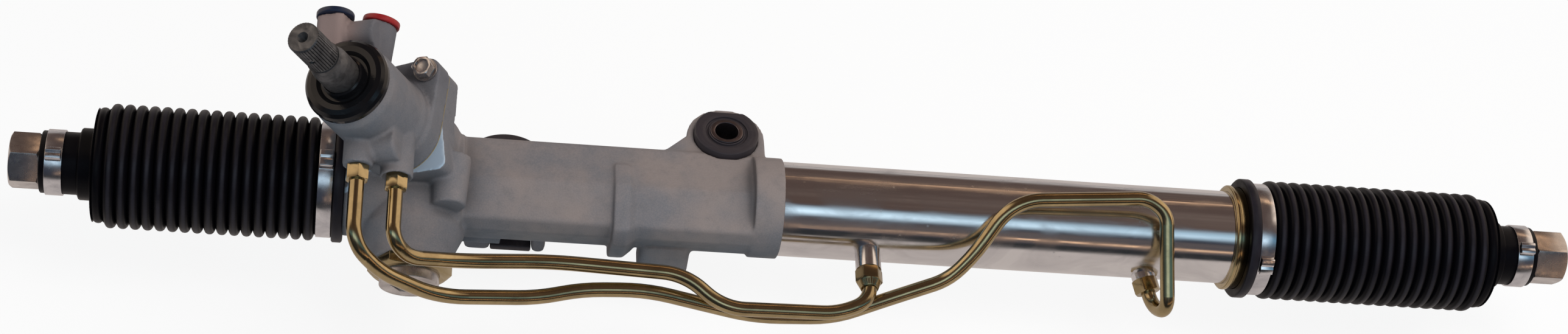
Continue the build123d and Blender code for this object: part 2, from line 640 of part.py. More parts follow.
# Rack bar with teeth that lie along the shaft's direction
with BuildPart() as rack_bar:
    bar_left = LEFT_TIP_X + LEFT_HEX_LENGTH + STEM_LENGTH + WASHER_THICKNESS
    bar_right = RIGHT_TIP_X - RIGHT_HEX_LENGTH - STEM_LENGTH + 6 - WASHER_THICKNESS
    ring(lengthwise, rack_axis, bar_left, bar_right, BAR_RADIUS)
    ring(lengthwise, rack_axis, bar_left - 1, bar_left + STUD_LENGTH + 1, STUD_RADIUS + 0.05, mode=Mode.SUBTRACT)
    ring(lengthwise, rack_axis, bar_right - STUD_LENGTH - 1, bar_right + 1, STUD_RADIUS + 0.05,
         mode=Mode.SUBTRACT)
    # flat at the tooth tips
    flat_plane = Plane(origin=Vector(PINION_X, RACK_Y, RACK_Z) + away * (TOOTH_TIP_HEIGHT + 5),
                       x_dir=(1, 0, 0), z_dir=away)
    with BuildSketch(flat_plane) as flat:
        Rectangle(toothed_length, 4 * BAR_RADIUS)
    extrude(amount=-5, mode=Mode.SUBTRACT)
    # tooth spaces, drawn square to the teeth and cut along them
    half_gap = tooth_pitch / 4
    slope = tan(radians(PRESSURE_ANGLE))
    gap_top = half_gap + (TOOTH_TIP_HEIGHT + 1 - reference_height) * slope
    gap_foot = half_gap - (reference_height - rack_root_height) * slope
    reach = 2 * BAR_RADIUS
    space_count = int((toothed_length - 10) / rack_pitch)
    space_shift = PINION_TEETH % 2 * 0.5
    for number in range(-(space_count // 2), space_count // 2 + 1):
        middle = Vector(PINION_X + (number + space_shift) * rack_pitch, RACK_Y, RACK_Z)
        gap_plane = Plane(origin=middle - shaft * reach, x_dir=side, z_dir=shaft)
        with BuildSketch(gap_plane) as gap:
            with BuildLine():
                Polyline((-gap_top, TOOTH_TIP_HEIGHT + 1), (-gap_foot, rack_root_height),
                         (gap_foot, rack_root_height), (gap_top, TOOTH_TIP_HEIGHT + 1), close=True)
            make_face()
        extrude(amount=2 * reach, mode=Mode.SUBTRACT)
rack_bar.part.label = "rack_bar"

piston_x = (PORT_A_X + PORT_B_X + port_b_way.X * tube_bore) / 2
with BuildPart() as piston:
    ring(lengthwise, rack_axis, piston_x - PISTON_WIDTH / 2, piston_x + PISTON_WIDTH / 2,
         tube_bore - PISTON_GAP, BAR_RADIUS)
    ring(lengthwise, rack_axis, piston_x - PISTON_RING_WIDTH / 2, piston_x + PISTON_RING_WIDTH / 2,
         tube_bore, tube_bore - PISTON_RING_DEPTH, mode=Mode.SUBTRACT)
piston.part.label = "piston"

with BuildPart() as piston_ring:
    ring(lengthwise, rack_axis, piston_x - PISTON_RING_WIDTH / 2, piston_x + PISTON_RING_WIDTH / 2,
         tube_bore - RUNNING, tube_bore - PISTON_RING_DEPTH)
piston_ring.part.label = "piston_ring"


# Rack ends: a hexagon with a threaded hole, a round stem, and a stud into the bar
def rack_end(tip_x, inward, hex_length, stem_length):
    """Rack end whose tip is at tip_x, built towards the rack bar."""
    tip = towards((tip_x, RACK_Y, RACK_Z), (inward, 0, 0), (0, 1, 0))
    hex_bar(tip, HEX_FLATS, hex_length)
    ease_corners(tip, HEX_FLATS, hex_length)
    shoulder = tip_x + inward * hex_length
    foot = shoulder + inward * stem_length
    round_bar(towards((shoulder, RACK_Y, RACK_Z), (inward, 0, 0), (0, 1, 0)), STEM_RADIUS, stem_length)
    round_bar(towards((foot, RACK_Y, RACK_Z), (inward, 0, 0), (0, 1, 0)), STUD_RADIUS,
              STUD_LENGTH + WASHER_THICKNESS)
    round_bar(tip, THREAD_RADIUS, THREAD_DEPTH, mode=Mode.SUBTRACT)


with BuildPart() as rack_end_left:
    rack_end(LEFT_TIP_X, 1, LEFT_HEX_LENGTH, STEM_LENGTH)
rack_end_left.part.label = "rack_end_left"

with BuildPart() as rack_end_right:
    rack_end(RIGHT_TIP_X, -1, RIGHT_HEX_LENGTH, STEM_LENGTH - 6)
rack_end_right.part.label = "rack_end_right"

with BuildPart() as lock_washer_left:
    ring(lengthwise, rack_axis, bar_left - WASHER_THICKNESS, bar_left, BAR_RADIUS + 1.5, STUD_RADIUS + 0.05)
lock_washer_left.part.label = "lock_washer_left"

with BuildPart() as lock_washer_right:
    ring(lengthwise, rack_axis, bar_right, bar_right + WASHER_THICKNESS, BAR_RADIUS + 1.5, STUD_RADIUS + 0.05)
lock_washer_right.part.label = "lock_washer_right"


# Pinion, square to the shaft, with a stepped stem
base_radius = pitch_radius * cos(radians(PRESSURE_ANGLE))
roll = tan(radians(PRESSURE_ANGLE)) - radians(PRESSURE_ANGLE)
tooth_half = (MODULE * (pi / 2 + 2 * PROFILE_SHIFT * tan(radians(PRESSURE_ANGLE))) - BACKLASH) / (2 * pitch_radius)


def flank_point(radius):
    """Half angle of the tooth at a radius, from the involute of the base circle."""
    turn = sqrt(max(0.0, (radius / base_radius) ** 2 - 1))
    half = tooth_half + roll - (turn - atan2(turn, 1))
    return radius * cos(half), radius * sin(half)


pinion_half = 13.0
with BuildPart() as pinion:
    round_bar(on_shaft(-pinion_half), pinion_root, 2 * pinion_half)
    flank = [flank_point(base_radius + (pinion_tip - base_radius) * step / 4) for step in range(5)]
    foot_y = flank[0][1]
    with BuildSketch(on_shaft(-pinion_half)) as teeth:
        with PolarLocations(0, PINION_TEETH, start_angle=-90):
            with BuildSketch(mode=Mode.PRIVATE) as tooth:
                with BuildLine():
                    upper = Spline(*flank)
                    lower = Spline(*[(px, -py) for px, py in flank])
                    ThreePointArc(upper @ 1, (pinion_tip, 0), lower @ 1)
                    Polyline(upper @ 0, (pinion_root - 1, foot_y), (pinion_root - 1, -foot_y), lower @ 0)
                make_face()
            add(tooth.sketch)
    extrude(amount=2 * pinion_half)
    round_bar(on_shaft(-28), lower_journal, 16)
    round_bar(on_shaft(-34), lower_thread, 7)
    ring(along_shaft, shaft_axis, pinion_half - 0.5, 15.6, pinion_root)
    ring(along_shaft, shaft_axis, 15.6, 31, 8.5)
    ring(along_shaft, shaft_axis, 30.6, spool_start - 0.4, spool_radius)
    round_bar(on_shaft(36), 7.0 + RUNNING, 16, mode=Mode.SUBTRACT)
    round_bar(on_shaft(8), torsion_thick + RUNNING, 30, mode=Mode.SUBTRACT)
pinion.part.label = "pinion"

with BuildPart() as pinion_nut:
    hex_bar(on_shaft(-33.5), 13.0, 5.4)
    round_bar(on_shaft(-34), lower_thread, 7, mode=Mode.SUBTRACT)
pinion_nut.part.label = "pinion_nut"

sleeve_start = 51.0
sleeve_end = 85.0
with BuildPart() as valve_sleeve:
    ring(along_shaft, shaft_axis, 42, sleeve_end, valve_bore - 0.35, spool_radius)
    for groove in range(4):
        ring(along_shaft, shaft_axis, sleeve_start + 1 + 8.6 * groove, sleeve_start + 3.2 + 8.6 * groove,
             valve_bore, valve_bore - 2.0, mode=Mode.SUBTRACT)
valve_sleeve.part.label = "valve_sleeve"

with BuildPart() as sleeve_rings:
    for groove in range(4):
        ring(along_shaft, shaft_axis, sleeve_start + 1 + 8.6 * groove, sleeve_start + 3.2 + 8.6 * groove,
             valve_bore - RUNNING, valve_bore - 2.0)
sleeve_rings.part.label = "sleeve_rings"


# Input shaft with its spool, torsion bar and cross pin
with BuildPart() as input_shaft:
    ring(along_shaft, shaft_axis, 38, spool_start, 7.0)
    ring(along_shaft, shaft_axis, spool_start, spool_end, spool_radius - SLIDING)
    ring(along_shaft, shaft_axis, spool_end, journal_end, journal_radius)
    ring(along_shaft, shaft_axis, journal_end, stem_end, stem_radius)
    turned(along_shaft, shaft_axis,
           [(stem_end, 0), (stem_end, stem_radius), (stem_end + 5, tip_radius + 0.5),
            (serration_start - 1, tip_radius + 0.5), (serration_start - 1, 0)])
    ring(along_shaft, shaft_axis, serration_start - 1, SHAFT_END, tip_radius)
    with BuildSketch(on_shaft(serration_start)) as serrations:
        with PolarLocations(tip_radius + 0.1, 36):
            RegularPolygon(radius=0.62, side_count=3, rotation=180)
    extrude(amount=SHAFT_END - serration_start + 1, mode=Mode.SUBTRACT)
    turned(along_shaft, shaft_axis,
           [(SHAFT_END - 1.4, 9), (SHAFT_END + 0.1, 7.5), (SHAFT_END + 0.1, 9)], mode=Mode.SUBTRACT)
    round_bar(on_shaft(37), torsion_thick, SHAFT_END - 42, mode=Mode.SUBTRACT)
    turned(along_shaft, shaft_axis,
           [(SHAFT_END - 4, 0), (SHAFT_END + 0.1, 3.0), (SHAFT_END + 0.1, 0)], mode=Mode.SUBTRACT)
    round_bar(towards(from_shaft(pin_place, 0, -12), away, side), pin_radius, 24, mode=Mode.SUBTRACT)
input_shaft.part.label = "input_shaft"

with BuildPart() as torsion_bar:
    round_bar(on_shaft(9), torsion_thick, 16)
    round_bar(on_shaft(25), torsion_thin, 114)
    round_bar(on_shaft(139), torsion_thick, SHAFT_END - 5 - 139)
    round_bar(towards(from_shaft(pin_place, 0, -12), away, side), pin_radius, 24, mode=Mode.SUBTRACT)
torsion_bar.part.label = "torsion_bar"

with BuildPart() as torsion_pin:
    round_bar(towards(from_shaft(pin_place, 0, -pin_half), away, side), pin_radius, 2 * pin_half)
torsion_pin.part.label = "torsion_pin"


# Rack guide, its liner, spring, cap and lock nut
guide_face = 5.0
guide_back = 30.0
liner_thickness = 0.8
with BuildPart() as rack_guide:
    round_bar(on_guide(guide_face), guide_bore - RUNNING, guide_back - guide_face)
    ring(lengthwise, rack_axis, GUIDE_X - 20, GUIDE_X + 20, BAR_RADIUS + SLIDING + liner_thickness,
         mode=Mode.SUBTRACT)
    round_bar(on_guide(22), 9.5, 10, mode=Mode.SUBTRACT)
rack_guide.part.label = "rack_guide"

with BuildPart() as guide_liner:
    round_bar(on_guide(guide_face), guide_bore - 1.5, 12)
    ring(lengthwise, rack_axis, GUIDE_X - 20, GUIDE_X + 20, BAR_RADIUS + SLIDING, mode=Mode.SUBTRACT)
    ring(lengthwise, rack_axis, GUIDE_X - 20, GUIDE_X + 20, BAR_RADIUS + 12,
         BAR_RADIUS + SLIDING + liner_thickness, mode=Mode.SUBTRACT)
guide_liner.part.label = "guide_liner"

spring_wire = 1.3
with BuildPart() as guide_spring:
    with BuildLine() as coil:
        Helix(pitch=4.0, height=13.0, radius=7.2, direction=guide_way,
              center=guide_origin + guide_way * (22 + spring_wire + 0.1))
    with BuildSketch(Plane(origin=coil.line @ 0, z_dir=coil.line % 0)) as wire:
        Circle(spring_wire)
    sweep(wire.sketch, path=coil.line)
guide_spring.part.label = "guide_spring"

with BuildPart() as guide_cap:
    round_bar(on_guide(guide_back + 0.4), guide_bore - 0.05, guide_mouth + 12 - guide_back)
    round_bar(on_guide(guide_back), 10.2, 9, mode=Mode.SUBTRACT)
    hex_bar(on_guide(guide_mouth + 7), 17.0, 8, mode=Mode.SUBTRACT)
guide_cap.part.label = "guide_cap"

with BuildPart() as guide_lock_nut:
    hex_bar(on_guide(guide_mouth), 39.0, 6.5)
    round_bar(on_guide(guide_mouth), guide_bore, 7, mode=Mode.SUBTRACT)
    turned(along_guide, guide_axis,
           [(guide_mouth + 4.2, 24), (guide_mouth + 6.6, 24), (guide_mouth + 6.6, 19.4)], mode=Mode.SUBTRACT)
guide_lock_nut.part.label = "guide_lock_nut"


# Bellows boots
def boot(big_x, small_x, outward, seat, folds, tail):
    """Bellows from the lip at big_x to the neck at small_x, turned in one piece."""
    cuff_x = big_x + outward * CUFF_LENGTH
    step_x = small_x - outward * (tail + COLLAR_STEP_LENGTH)
    pitch = (step_x - cuff_x) / folds
    lip_x = big_x + outward * BOOT_LIP_LENGTH
    outer = [(big_x, BOOT_LIP - BOOT_LIP_EASE), (big_x + outward * BOOT_LIP_EASE, BOOT_LIP),
             (lip_x - outward * BOOT_LIP_EASE, BOOT_LIP), (lip_x, BOOT_LIP - BOOT_LIP_EASE),
             (lip_x, seat + CUFF_WALL), (cuff_x, seat + CUFF_WALL)]
    inner = [(big_x, seat), (cuff_x, seat)]
    for fold in range(folds):
        crest = BOOT_CREST - (FIRST_FOLD_DROP if fold == folds - 1 else 0.0)
        outer.append((cuff_x + pitch * (fold + 0.3), crest))
        outer.append((cuff_x + pitch * (fold + 0.6), crest))
        inner.append((cuff_x + pitch * (fold + 0.45), crest - BOOT_SKIN))
        if fold < folds - 1:
            outer.append((cuff_x + pitch * (fold + 0.95), BOOT_ROOT))
            inner.append((cuff_x + pitch * (fold + 0.95), BOOT_ROOT - BOOT_SKIN))
    neck_x = step_x + outward * COLLAR_STEP_LENGTH
    outer += [(step_x, COLLAR_STEP), (neck_x, COLLAR_STEP), (neck_x, STEM_RADIUS + NECK_WALL),
              (small_x, STEM_RADIUS + NECK_WALL)]
    inner += [(step_x, COLLAR_STEP - 2.4), (neck_x, STEM_RADIUS + 0.05), (small_x, STEM_RADIUS + 0.05)]
    turned(lengthwise, rack_axis, outer + inner[::-1])


left_small_x = LEFT_TIP_X + LEFT_HEX_LENGTH
right_small_x = RIGHT_TIP_X - RIGHT_HEX_LENGTH
left_tail = 20.0
right_tail = 16.0
right_big_x = end_ring_left + END_RING_SHOWN
with BuildPart() as boot_left:
    boot(HOUSING_LEFT_X, left_small_x, -1, STUB_RADIUS, LEFT_FOLDS, left_tail)
boot_left.part.label = "boot_left"

with BuildPart() as boot_right:
    boot(right_big_x, right_small_x, 1, END_RING_RADIUS, RIGHT_FOLDS, right_tail)
boot_right.part.label = "boot_right"


def band_clamp(middle, width, radius, turn, ear):
    """Spring band round a boot with its crimped ear at an angle round the rack."""
    ring(lengthwise, rack_axis, middle - width / 2, middle + width / 2, radius + BAND_THICKNESS, radius)
    way = Vector(0, -cos(radians(turn)), sin(radians(turn)))
    seat = Vector(middle - width / 2 + 0.5, RACK_Y, RACK_Z) + way * (radius + BAND_THICKNESS / 2)
    half = ear / 2
    with BuildSketch(Plane(origin=seat, x_dir=way.cross(Vector(1, 0, 0)), z_dir=(1, 0, 0))) as ear_section:
        with BuildLine():
            Polyline((-half, -0.3), (half, -0.3), (half - 1.6, 1.4), (half - 0.6, 2.6), (half - 1.2, 3.7),
                     (1.4, 3.9), (0.0, 3.1), (-1.4, 3.9), (-half + 1.2, 3.7), (-half + 0.6, 2.6),
                     (-half + 1.6, 1.4), close=True)
        make_face()
    extrude(ear_section.sketch, amount=width - 1.0)


large_left_x = HOUSING_LEFT_X - BOOT_LIP_LENGTH - LARGE_BAND_WIDTH / 2 - 0.3
large_right_x = right_big_x + BOOT_LIP_LENGTH + LARGE_BAND_WIDTH / 2 + 0.3
with BuildPart() as clamp_large_left:
    band_clamp(large_left_x, LARGE_BAND_WIDTH, STUB_RADIUS + CUFF_WALL, 66, 11)
clamp_large_left.part.label = "clamp_large_left"

with BuildPart() as clamp_large_right:
    band_clamp(large_right_x, LARGE_BAND_WIDTH, END_RING_RADIUS + CUFF_WALL, 20, 11)
clamp_large_right.part.label = "clamp_large_right"

with BuildPart() as clamp_small_left:
    band_clamp(left_small_x + 7.5, SMALL_BAND_WIDTH, STEM_RADIUS + NECK_WALL, 60, 8)
clamp_small_left.part.label = "clamp_small_left"

with BuildPart() as clamp_small_right:
    band_clamp(right_small_x - 7.5, SMALL_BAND_WIDTH, STEM_RADIUS + NECK_WALL, 60, 8)
clamp_small_right.part.label = "clamp_small_right"


# Pressure pipes between the valve housing and the tube, bent from straight runs
def pipe_radii(points):
    """Bend radius at each inner point, so that every bend starts the same distance before its corner."""
    radii = []
    for before, here, after in zip(points, points[1:], points[2:]):
        arriving, leaving = here - before, after - here
        turn = radians(arriving.get_angle(leaving))
        radii.append(min(PIPE_BEND, 0.45 * arriving.length, 0.45 * leaving.length) / tan(turn / 2))
    return radii


def pipe(points):
    """Round pipe along a bent line."""
    with BuildLine() as route:
        FilletPolyline(*points, radius=pipe_radii(points))
    path = route.wire()
    start = towards(path @ 0, path % 0)
    with BuildSketch(start) as section:
        Circle(PIPE_RADIUS)
        Circle(PIPE_RADIUS - PIPE_WALL, mode=Mode.SUBTRACT)
    sweep(section.sketch, path=path)


long_start = from_shaft(port_left[0], port_left[1], port_left[2] + 4)
long_points = [
    long_start,
    from_shaft(port_left[0], port_left[1], port_left[2] - 41),
    Vector(-184.9, -122.0, 46.5), Vector(-154.3, -115.2, 22.2), Vector(-101.6, -105.4, 15.0),
    Vector(-77.6, -98.6, 16.2), Vector(-43.5, -96.0, 15.9), Vector(-13.5, -95.7, 7.7),
    Vector(17.0, -97.5, 1.7), Vector(60.3, -96.1, 3.1), Vector(86.7, -87.0, 8.6),
    Vector(122.5, -78.3, 19.5), Vector(135.2, -70.9, 32.6), Vector(154.2, -51.7, 57.4),
    Vector(229.3, -47.6, 61.5), Vector(240.4, -53.0, 56.1), Vector(244.4, -91.1, 18.0),
    port_b_root + port_b_way * 46, port_b_root + port_b_way * (port_b_end - 4),
]
short_start = from_shaft(port_right[0], port_right[1], port_right[2] + 4)
short_points = [
    short_start,
    from_shaft(port_right[0], port_right[1], port_right[2] - 32),
    Vector(-170.6, -112.2, 47.8), Vector(-142.3, -100.1, 34.4), Vector(-94.8, -90.1, 27.4),
    Vector(-23.1, -89.8, 23.5), Vector(-1.9, -104.5, 14.5), Vector(61.0, -101.2, 12.2),
    port_a_root + port_a_way * 58, port_a_root + port_a_way * (port_a_end - 4),
]
with BuildPart() as pipe_long:
    pipe(long_points)
pipe_long.part.label = "pipe_long"
with BuildPart() as pipe_short:
    pipe(short_points)
pipe_short.part.label = "pipe_short"


def flare_nut(start, way, hint, flats=NUT_FLATS, tail=0.0):
    """Hexagon nut round a pipe, seated on its boss, with a tail that narrows towards the pipe."""
    seat = towards(start, way, hint)
    hex_bar(seat, flats, NUT_LENGTH)
    ease_corners(seat, flats, NUT_LENGTH)
    if tail:
        end = start + way * NUT_LENGTH
        turned(Plane(origin=end, x_dir=way, z_dir=seat.x_dir), Axis(end, way),
               [(-1, 0), (-1, flats / 2), (0, flats / 2), (tail, PIPE_RADIUS + 0.8), (tail, 0)])
    round_bar(seat, PIPE_RADIUS + 0.05, NUT_LENGTH + tail, mode=Mode.SUBTRACT)


with BuildPart() as flare_nut_left:
    flare_nut(from_shaft(port_left[0], port_left[1], nut_seat_left), -away, side)
flare_nut_left.part.label = "flare_nut_left"
with BuildPart() as flare_nut_right:
    flare_nut(from_shaft(port_right[0], port_right[1], nut_seat_right), -away, side)
flare_nut_right.part.label = "flare_nut_right"
with BuildPart() as flare_nut_port_a:
    flare_nut(port_a_root + port_a_way * port_a_end, port_a_way, (1, 0, 0), TUBE_NUT_FLATS, TUBE_NUT_TAIL)
flare_nut_port_a.part.label = "flare_nut_port_a"
with BuildPart() as flare_nut_port_b:
    flare_nut(port_b_root + port_b_way * port_b_end, port_b_way, (1, 0, 0), TUBE_NUT_FLATS)
flare_nut_port_b.part.label = "flare_nut_port_b"


os.makedirs("parts", exist_ok=True)
for piece in (
    rack_housing, cylinder_tube, cylinder_end_ring, inner_seal, end_seal, end_bush,
    mount_bush_right, mount_sleeve_right, mount_bush_left, mount_sleeve_left,
    valve_housing, valve_gasket, valve_housing_bolts, dust_cover, input_seal, input_bearing,
    pinion_bearing, pinion_seal, lower_bearing, pinion_cap, port_cap_blue, port_cap_red,
    rack_bar, piston, piston_ring, rack_end_left, rack_end_right, lock_washer_left, lock_washer_right,
    pinion, pinion_nut, valve_sleeve, sleeve_rings, input_shaft, torsion_bar, torsion_pin,
    rack_guide, guide_liner, guide_spring, guide_cap, guide_lock_nut, boot_left, boot_right,
    clamp_large_left, clamp_large_right, clamp_small_left, clamp_small_right,
    pipe_long, pipe_short, flare_nut_left, flare_nut_right, flare_nut_port_a, flare_nut_port_b,
):
    export_step(piece.part, f"parts/{piece.part.label}.step")
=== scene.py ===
"""Looks of a hydraulic rack and pinion steering gear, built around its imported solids."""

import json
import math

import bpy
from mathutils import Matrix, Vector


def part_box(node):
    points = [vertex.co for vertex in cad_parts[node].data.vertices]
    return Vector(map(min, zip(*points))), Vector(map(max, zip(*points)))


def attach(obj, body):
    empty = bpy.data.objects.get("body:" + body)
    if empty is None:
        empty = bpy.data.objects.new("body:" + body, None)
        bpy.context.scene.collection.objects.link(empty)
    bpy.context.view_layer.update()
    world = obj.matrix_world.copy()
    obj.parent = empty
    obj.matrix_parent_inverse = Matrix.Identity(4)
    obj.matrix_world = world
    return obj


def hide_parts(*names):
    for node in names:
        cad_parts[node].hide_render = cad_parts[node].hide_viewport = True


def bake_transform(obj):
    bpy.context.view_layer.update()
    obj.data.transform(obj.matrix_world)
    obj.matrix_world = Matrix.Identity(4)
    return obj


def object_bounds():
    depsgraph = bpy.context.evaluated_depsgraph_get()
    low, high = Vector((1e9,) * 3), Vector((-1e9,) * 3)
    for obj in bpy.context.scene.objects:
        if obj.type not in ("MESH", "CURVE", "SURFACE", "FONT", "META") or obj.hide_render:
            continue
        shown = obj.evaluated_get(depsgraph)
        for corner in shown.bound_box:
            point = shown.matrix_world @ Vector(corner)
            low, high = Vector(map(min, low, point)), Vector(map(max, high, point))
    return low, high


bl_info = {
    "name": "Steering rack",
    "version": (1, 0, 0),
    "blender": (4, 5, 0),
    "location": "View3D > Sidebar > Steering rack",
    "description": "Adds the boots, softened castings, finishes and studio of a steering rack",
    "category": "Object",
}

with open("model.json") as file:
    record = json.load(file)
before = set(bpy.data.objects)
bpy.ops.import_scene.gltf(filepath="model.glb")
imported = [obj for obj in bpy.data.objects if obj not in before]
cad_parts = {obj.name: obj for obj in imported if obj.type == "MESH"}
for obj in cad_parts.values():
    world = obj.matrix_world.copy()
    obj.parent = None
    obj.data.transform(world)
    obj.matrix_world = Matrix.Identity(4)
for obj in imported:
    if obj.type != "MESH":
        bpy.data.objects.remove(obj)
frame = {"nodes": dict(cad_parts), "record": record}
solid_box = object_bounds()
nodes = frame["nodes"]

bar_low, bar_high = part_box("rack_bar")
RACK_Y = (bar_low.y + bar_high.y) / 2
RACK_Z = (bar_low.z + bar_high.z) / 2
MM = 0.001
IN_MM = 1000
WELD = 0.002 * MM
RING_REACH = 0.02 * MM
MOST_TRIANGLES = 190000
FEET_DROP = 1.2 * MM
body_of = {name: body for body, names in frame["record"]["behaviour"]["bodies"].items() for name in names}
slot_of = {entry["node"]: entry["material_slot"] for entry in frame["record"]["subparts"]}
turn = next(joint for joint in frame["record"]["behaviour"]["joints"] if joint["name"] == "pinion_turn")
shaft = Vector(turn["axis"])
pinion_place = Vector(turn["pos_m"])
away = shaft.cross(Vector((1, 0, 0))).normalized()
side = away.cross(shaft)
bush_low, bush_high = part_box("mount_bush_left")
bush_place = (bush_low + bush_high) / 2


# Shader arithmetic
class Value:
    """One output socket of a node. Arithmetic on it adds the Math nodes it needs."""

    def __init__(self, tree, socket):
        self.tree = tree
        self.socket = socket

    def math(self, operation, *others, reverse=False):
        node = self.tree.nodes.new("ShaderNodeMath")
        node.operation = operation
        terms = (*others, self) if reverse else (self, *others)
        for place, term in zip(node.inputs, terms):
            feed(self.tree, place, term)
        return Value(self.tree, node.outputs[0])

    def __add__(self, other):
        return self.math("ADD", other)

    def __sub__(self, other):
        return self.math("SUBTRACT", other)

    def __rsub__(self, other):
        return self.math("SUBTRACT", other, reverse=True)

    def __mul__(self, other):
        return self.math("MULTIPLY", other)

    def __pow__(self, other):
        return self.math("POWER", other)

    __radd__ = __add__
    __rmul__ = __mul__


def feed(tree, socket, term):
    """Link a value to a socket, or write a plain number or colour on it."""
    if isinstance(term, Value):
        tree.links.new(term.socket, socket)
    else:
        socket.default_value = term


class Graph:
    """A node tree, with a short way to add any node."""

    def __init__(self, tree):
        self.tree = tree

    def node(self, kind, settings=None, sockets=None, output=0):
        """Any node: its type, its settings, then the values or links of its sockets."""
        node = self.tree.nodes.new(kind)
        for name, setting in (settings or {}).items():
            setattr(node, name, setting)
        for name, term in (sockets or {}).items():
            feed(self.tree, node.inputs[name], term)
        return Value(self.tree, node.outputs[output])

    def spread(self, value, low, high, start=0.0, end=1.0):
        """Move the range low to high onto start to end, and hold it there."""
        return self.node(
            "ShaderNodeMapRange",
            {"clamp": True},
            {"Value": value, "From Min": low, "From Max": high, "To Min": start, "To Max": end},
        )

    def mix(self, factor, first, second):
        """Colour between two colours."""
        return self.node(
            "ShaderNodeMix", {"data_type": "RGBA"}, {0: factor, 6: colour(first), 7: colour(second)}, output=2
        )


class Finish(Graph):
    """A material under construction."""

    def __init__(self, name):
        plain = bpy.data.materials.get(name)
        if plain:
            plain.name = name + "_plain"
        self.material = bpy.data.materials.new(name)
        self.material.use_nodes = True
        super().__init__(self.material.node_tree)
        self.shader = self.tree.nodes["Principled BSDF"]
        place = self.node("ShaderNodeTexCoord", output="Object")
        self.place = self.node(
            "ShaderNodeVectorMath", {"operation": "SCALE"}, {"Vector": place, "Scale": float(IN_MM)}
        )

    def noise(self, size, detail=3.0, roughness=0.55, stretch=(1, 1, 1), twist=0.0):
        """Cloudy noise whose blobs are about size millimetres across, from 0 to 1."""
        where = self.node(
            "ShaderNodeVectorMath", {"operation": "MULTIPLY"}, {0: self.place, 1: [1 / s for s in stretch]}
        )
        return self.node(
            "ShaderNodeTexNoise",
            None,
            {"Vector": where, "Scale": 1 / size, "Detail": detail, "Roughness": roughness, "Distortion": twist},
        )

    def cells(self, size):
        """Distance to scattered points about size millimetres apart."""
        return self.node("ShaderNodeTexVoronoi", None, {"Vector": self.place, "Scale": 1 / size}, "Distance")

    def part(self, axis):
        """One coordinate of the place on the piece, in millimetres."""
        return self.node("ShaderNodeSeparateXYZ", None, {"Vector": self.place}, output=axis)

    def radius(self, first, second, centre):
        """Distance in millimetres from a line that runs along the third axis."""
        a = self.part(first) - centre[0] * IN_MM
        b = self.part(second) - centre[1] * IN_MM
        return (a * a + b * b) ** 0.5

    def beyond(self, place, way):
        """Distance in millimetres past a place along a direction."""
        reach = self.node("ShaderNodeVectorMath", {"operation": "DOT_PRODUCT"}, {0: self.place, 1: way}, output=1)
        return reach - place.dot(way) * IN_MM

    def relief(self, height, strength, depth):
        """Bump from a height, with its depth in millimetres."""
        bump = self.node(
            "ShaderNodeBump", None, {"Height": height, "Strength": strength, "Distance": depth * MM}
        )
        feed(self.tree, self.shader.inputs["Normal"], bump)

    def set(self, **sockets):
        """Write the shader's own sockets, with underscores for the spaces in their names."""
        for name, term in sockets.items():
            feed(self.tree, self.shader.inputs[name.replace("_", " ")], colour(term))
        return self.material


def colour(term):
    """A colour of three numbers gets its alpha, anything else is passed on."""
    return (*term, 1.0) if isinstance(term, (tuple, list)) and len(term) == 3 else term


# Finishes
def cast_alloy():
    """Sand-cast aluminium: patches, grain, pits, painted shade in the crevices, a warm and a dark tower, and a
    machined joint whose pale blue band is partly a painted glint.
    """
    look = bpy.context.scene.rack_casting
    f = Finish("cast_alloy")
    patches = f.noise(34, 3)
    blotch = f.noise(7, 4)
    grain = f.noise(0.8, 3, 0.6)
    pits = f.cells(2.2)
    drift = f.noise(150, 2)
    lean = f.spread(f.part("X"), -130, 20, 0.12, -0.08)
    base = f.mix(f.spread(patches * 0.6 + drift * 0.4 + lean, 0.42, 0.6), list(look.warm_tint), list(look.cool_tint))
    base = f.mix(f.spread(blotch, 0.5, 0.75, 0, 0.3), base, [c * 0.72 for c in look.cool_tint])
    base = f.mix(f.spread(grain, 0.35, 0.7, 0, 0.3), base, [min(1.0, c * 1.4) for c in look.warm_tint])
    joint = pinion_place + shaft * look.joint_height
    above = f.beyond(joint, shaft)
    valve = f.spread(above, 1, 3)
    tower = valve * f.spread(f.beyond(joint, away), 10, 24)
    left = f.spread(f.beyond(joint, side), -5, 5, 1, 0)
    base = f.mix(valve * 0.1, base, [c * 0.55 for c in look.cool_tint])
    base = f.mix(tower * left * 0.8, base, [0.34, 0.245, 0.225])
    base = f.mix(tower * (1 - left) * 0.4, base, [0.10, 0.098, 0.115])
    # painted shade: the colour darkens in creases, corners and recesses, the less open they are
    openness_for_painted_shade = f.node("ShaderNodeAmbientOcclusion", {"samples": 8, "only_local": True}, {"Distance": 0.016}, output=1)
    base = f.mix(f.spread(openness_for_painted_shade, 0.35, 0.95, 0.85, 0), base, [c * 0.3 for c in look.cool_tint])
    # machined joint band: partly the paler tone of machined metal, partly a painted glint in pale blue along the joint
    machined_and_glint = f.spread(above.math("ABSOLUTE"), 0.5, 0.9, 1, 0)
    base = f.mix(machined_and_glint, base, [0.46, 0.56, 0.67])
    height = (grain * 0.7 + f.spread(pits, 0.0, 0.25) * 0.35 + blotch * 0.5) * (1 - machined_and_glint * 0.8)
    f.relief(height, 0.5, 0.3)
    return f.set(
        Base_Color=base,
        Metallic=f.spread(machined_and_glint, 0, 1, 0.08, 0.35),
        Roughness=f.spread(blotch + grain, 0.7, 1.3, 0.55, 0.72) - machined_and_glint * 0.2,
        Specular_IOR_Level=0.32,
    )


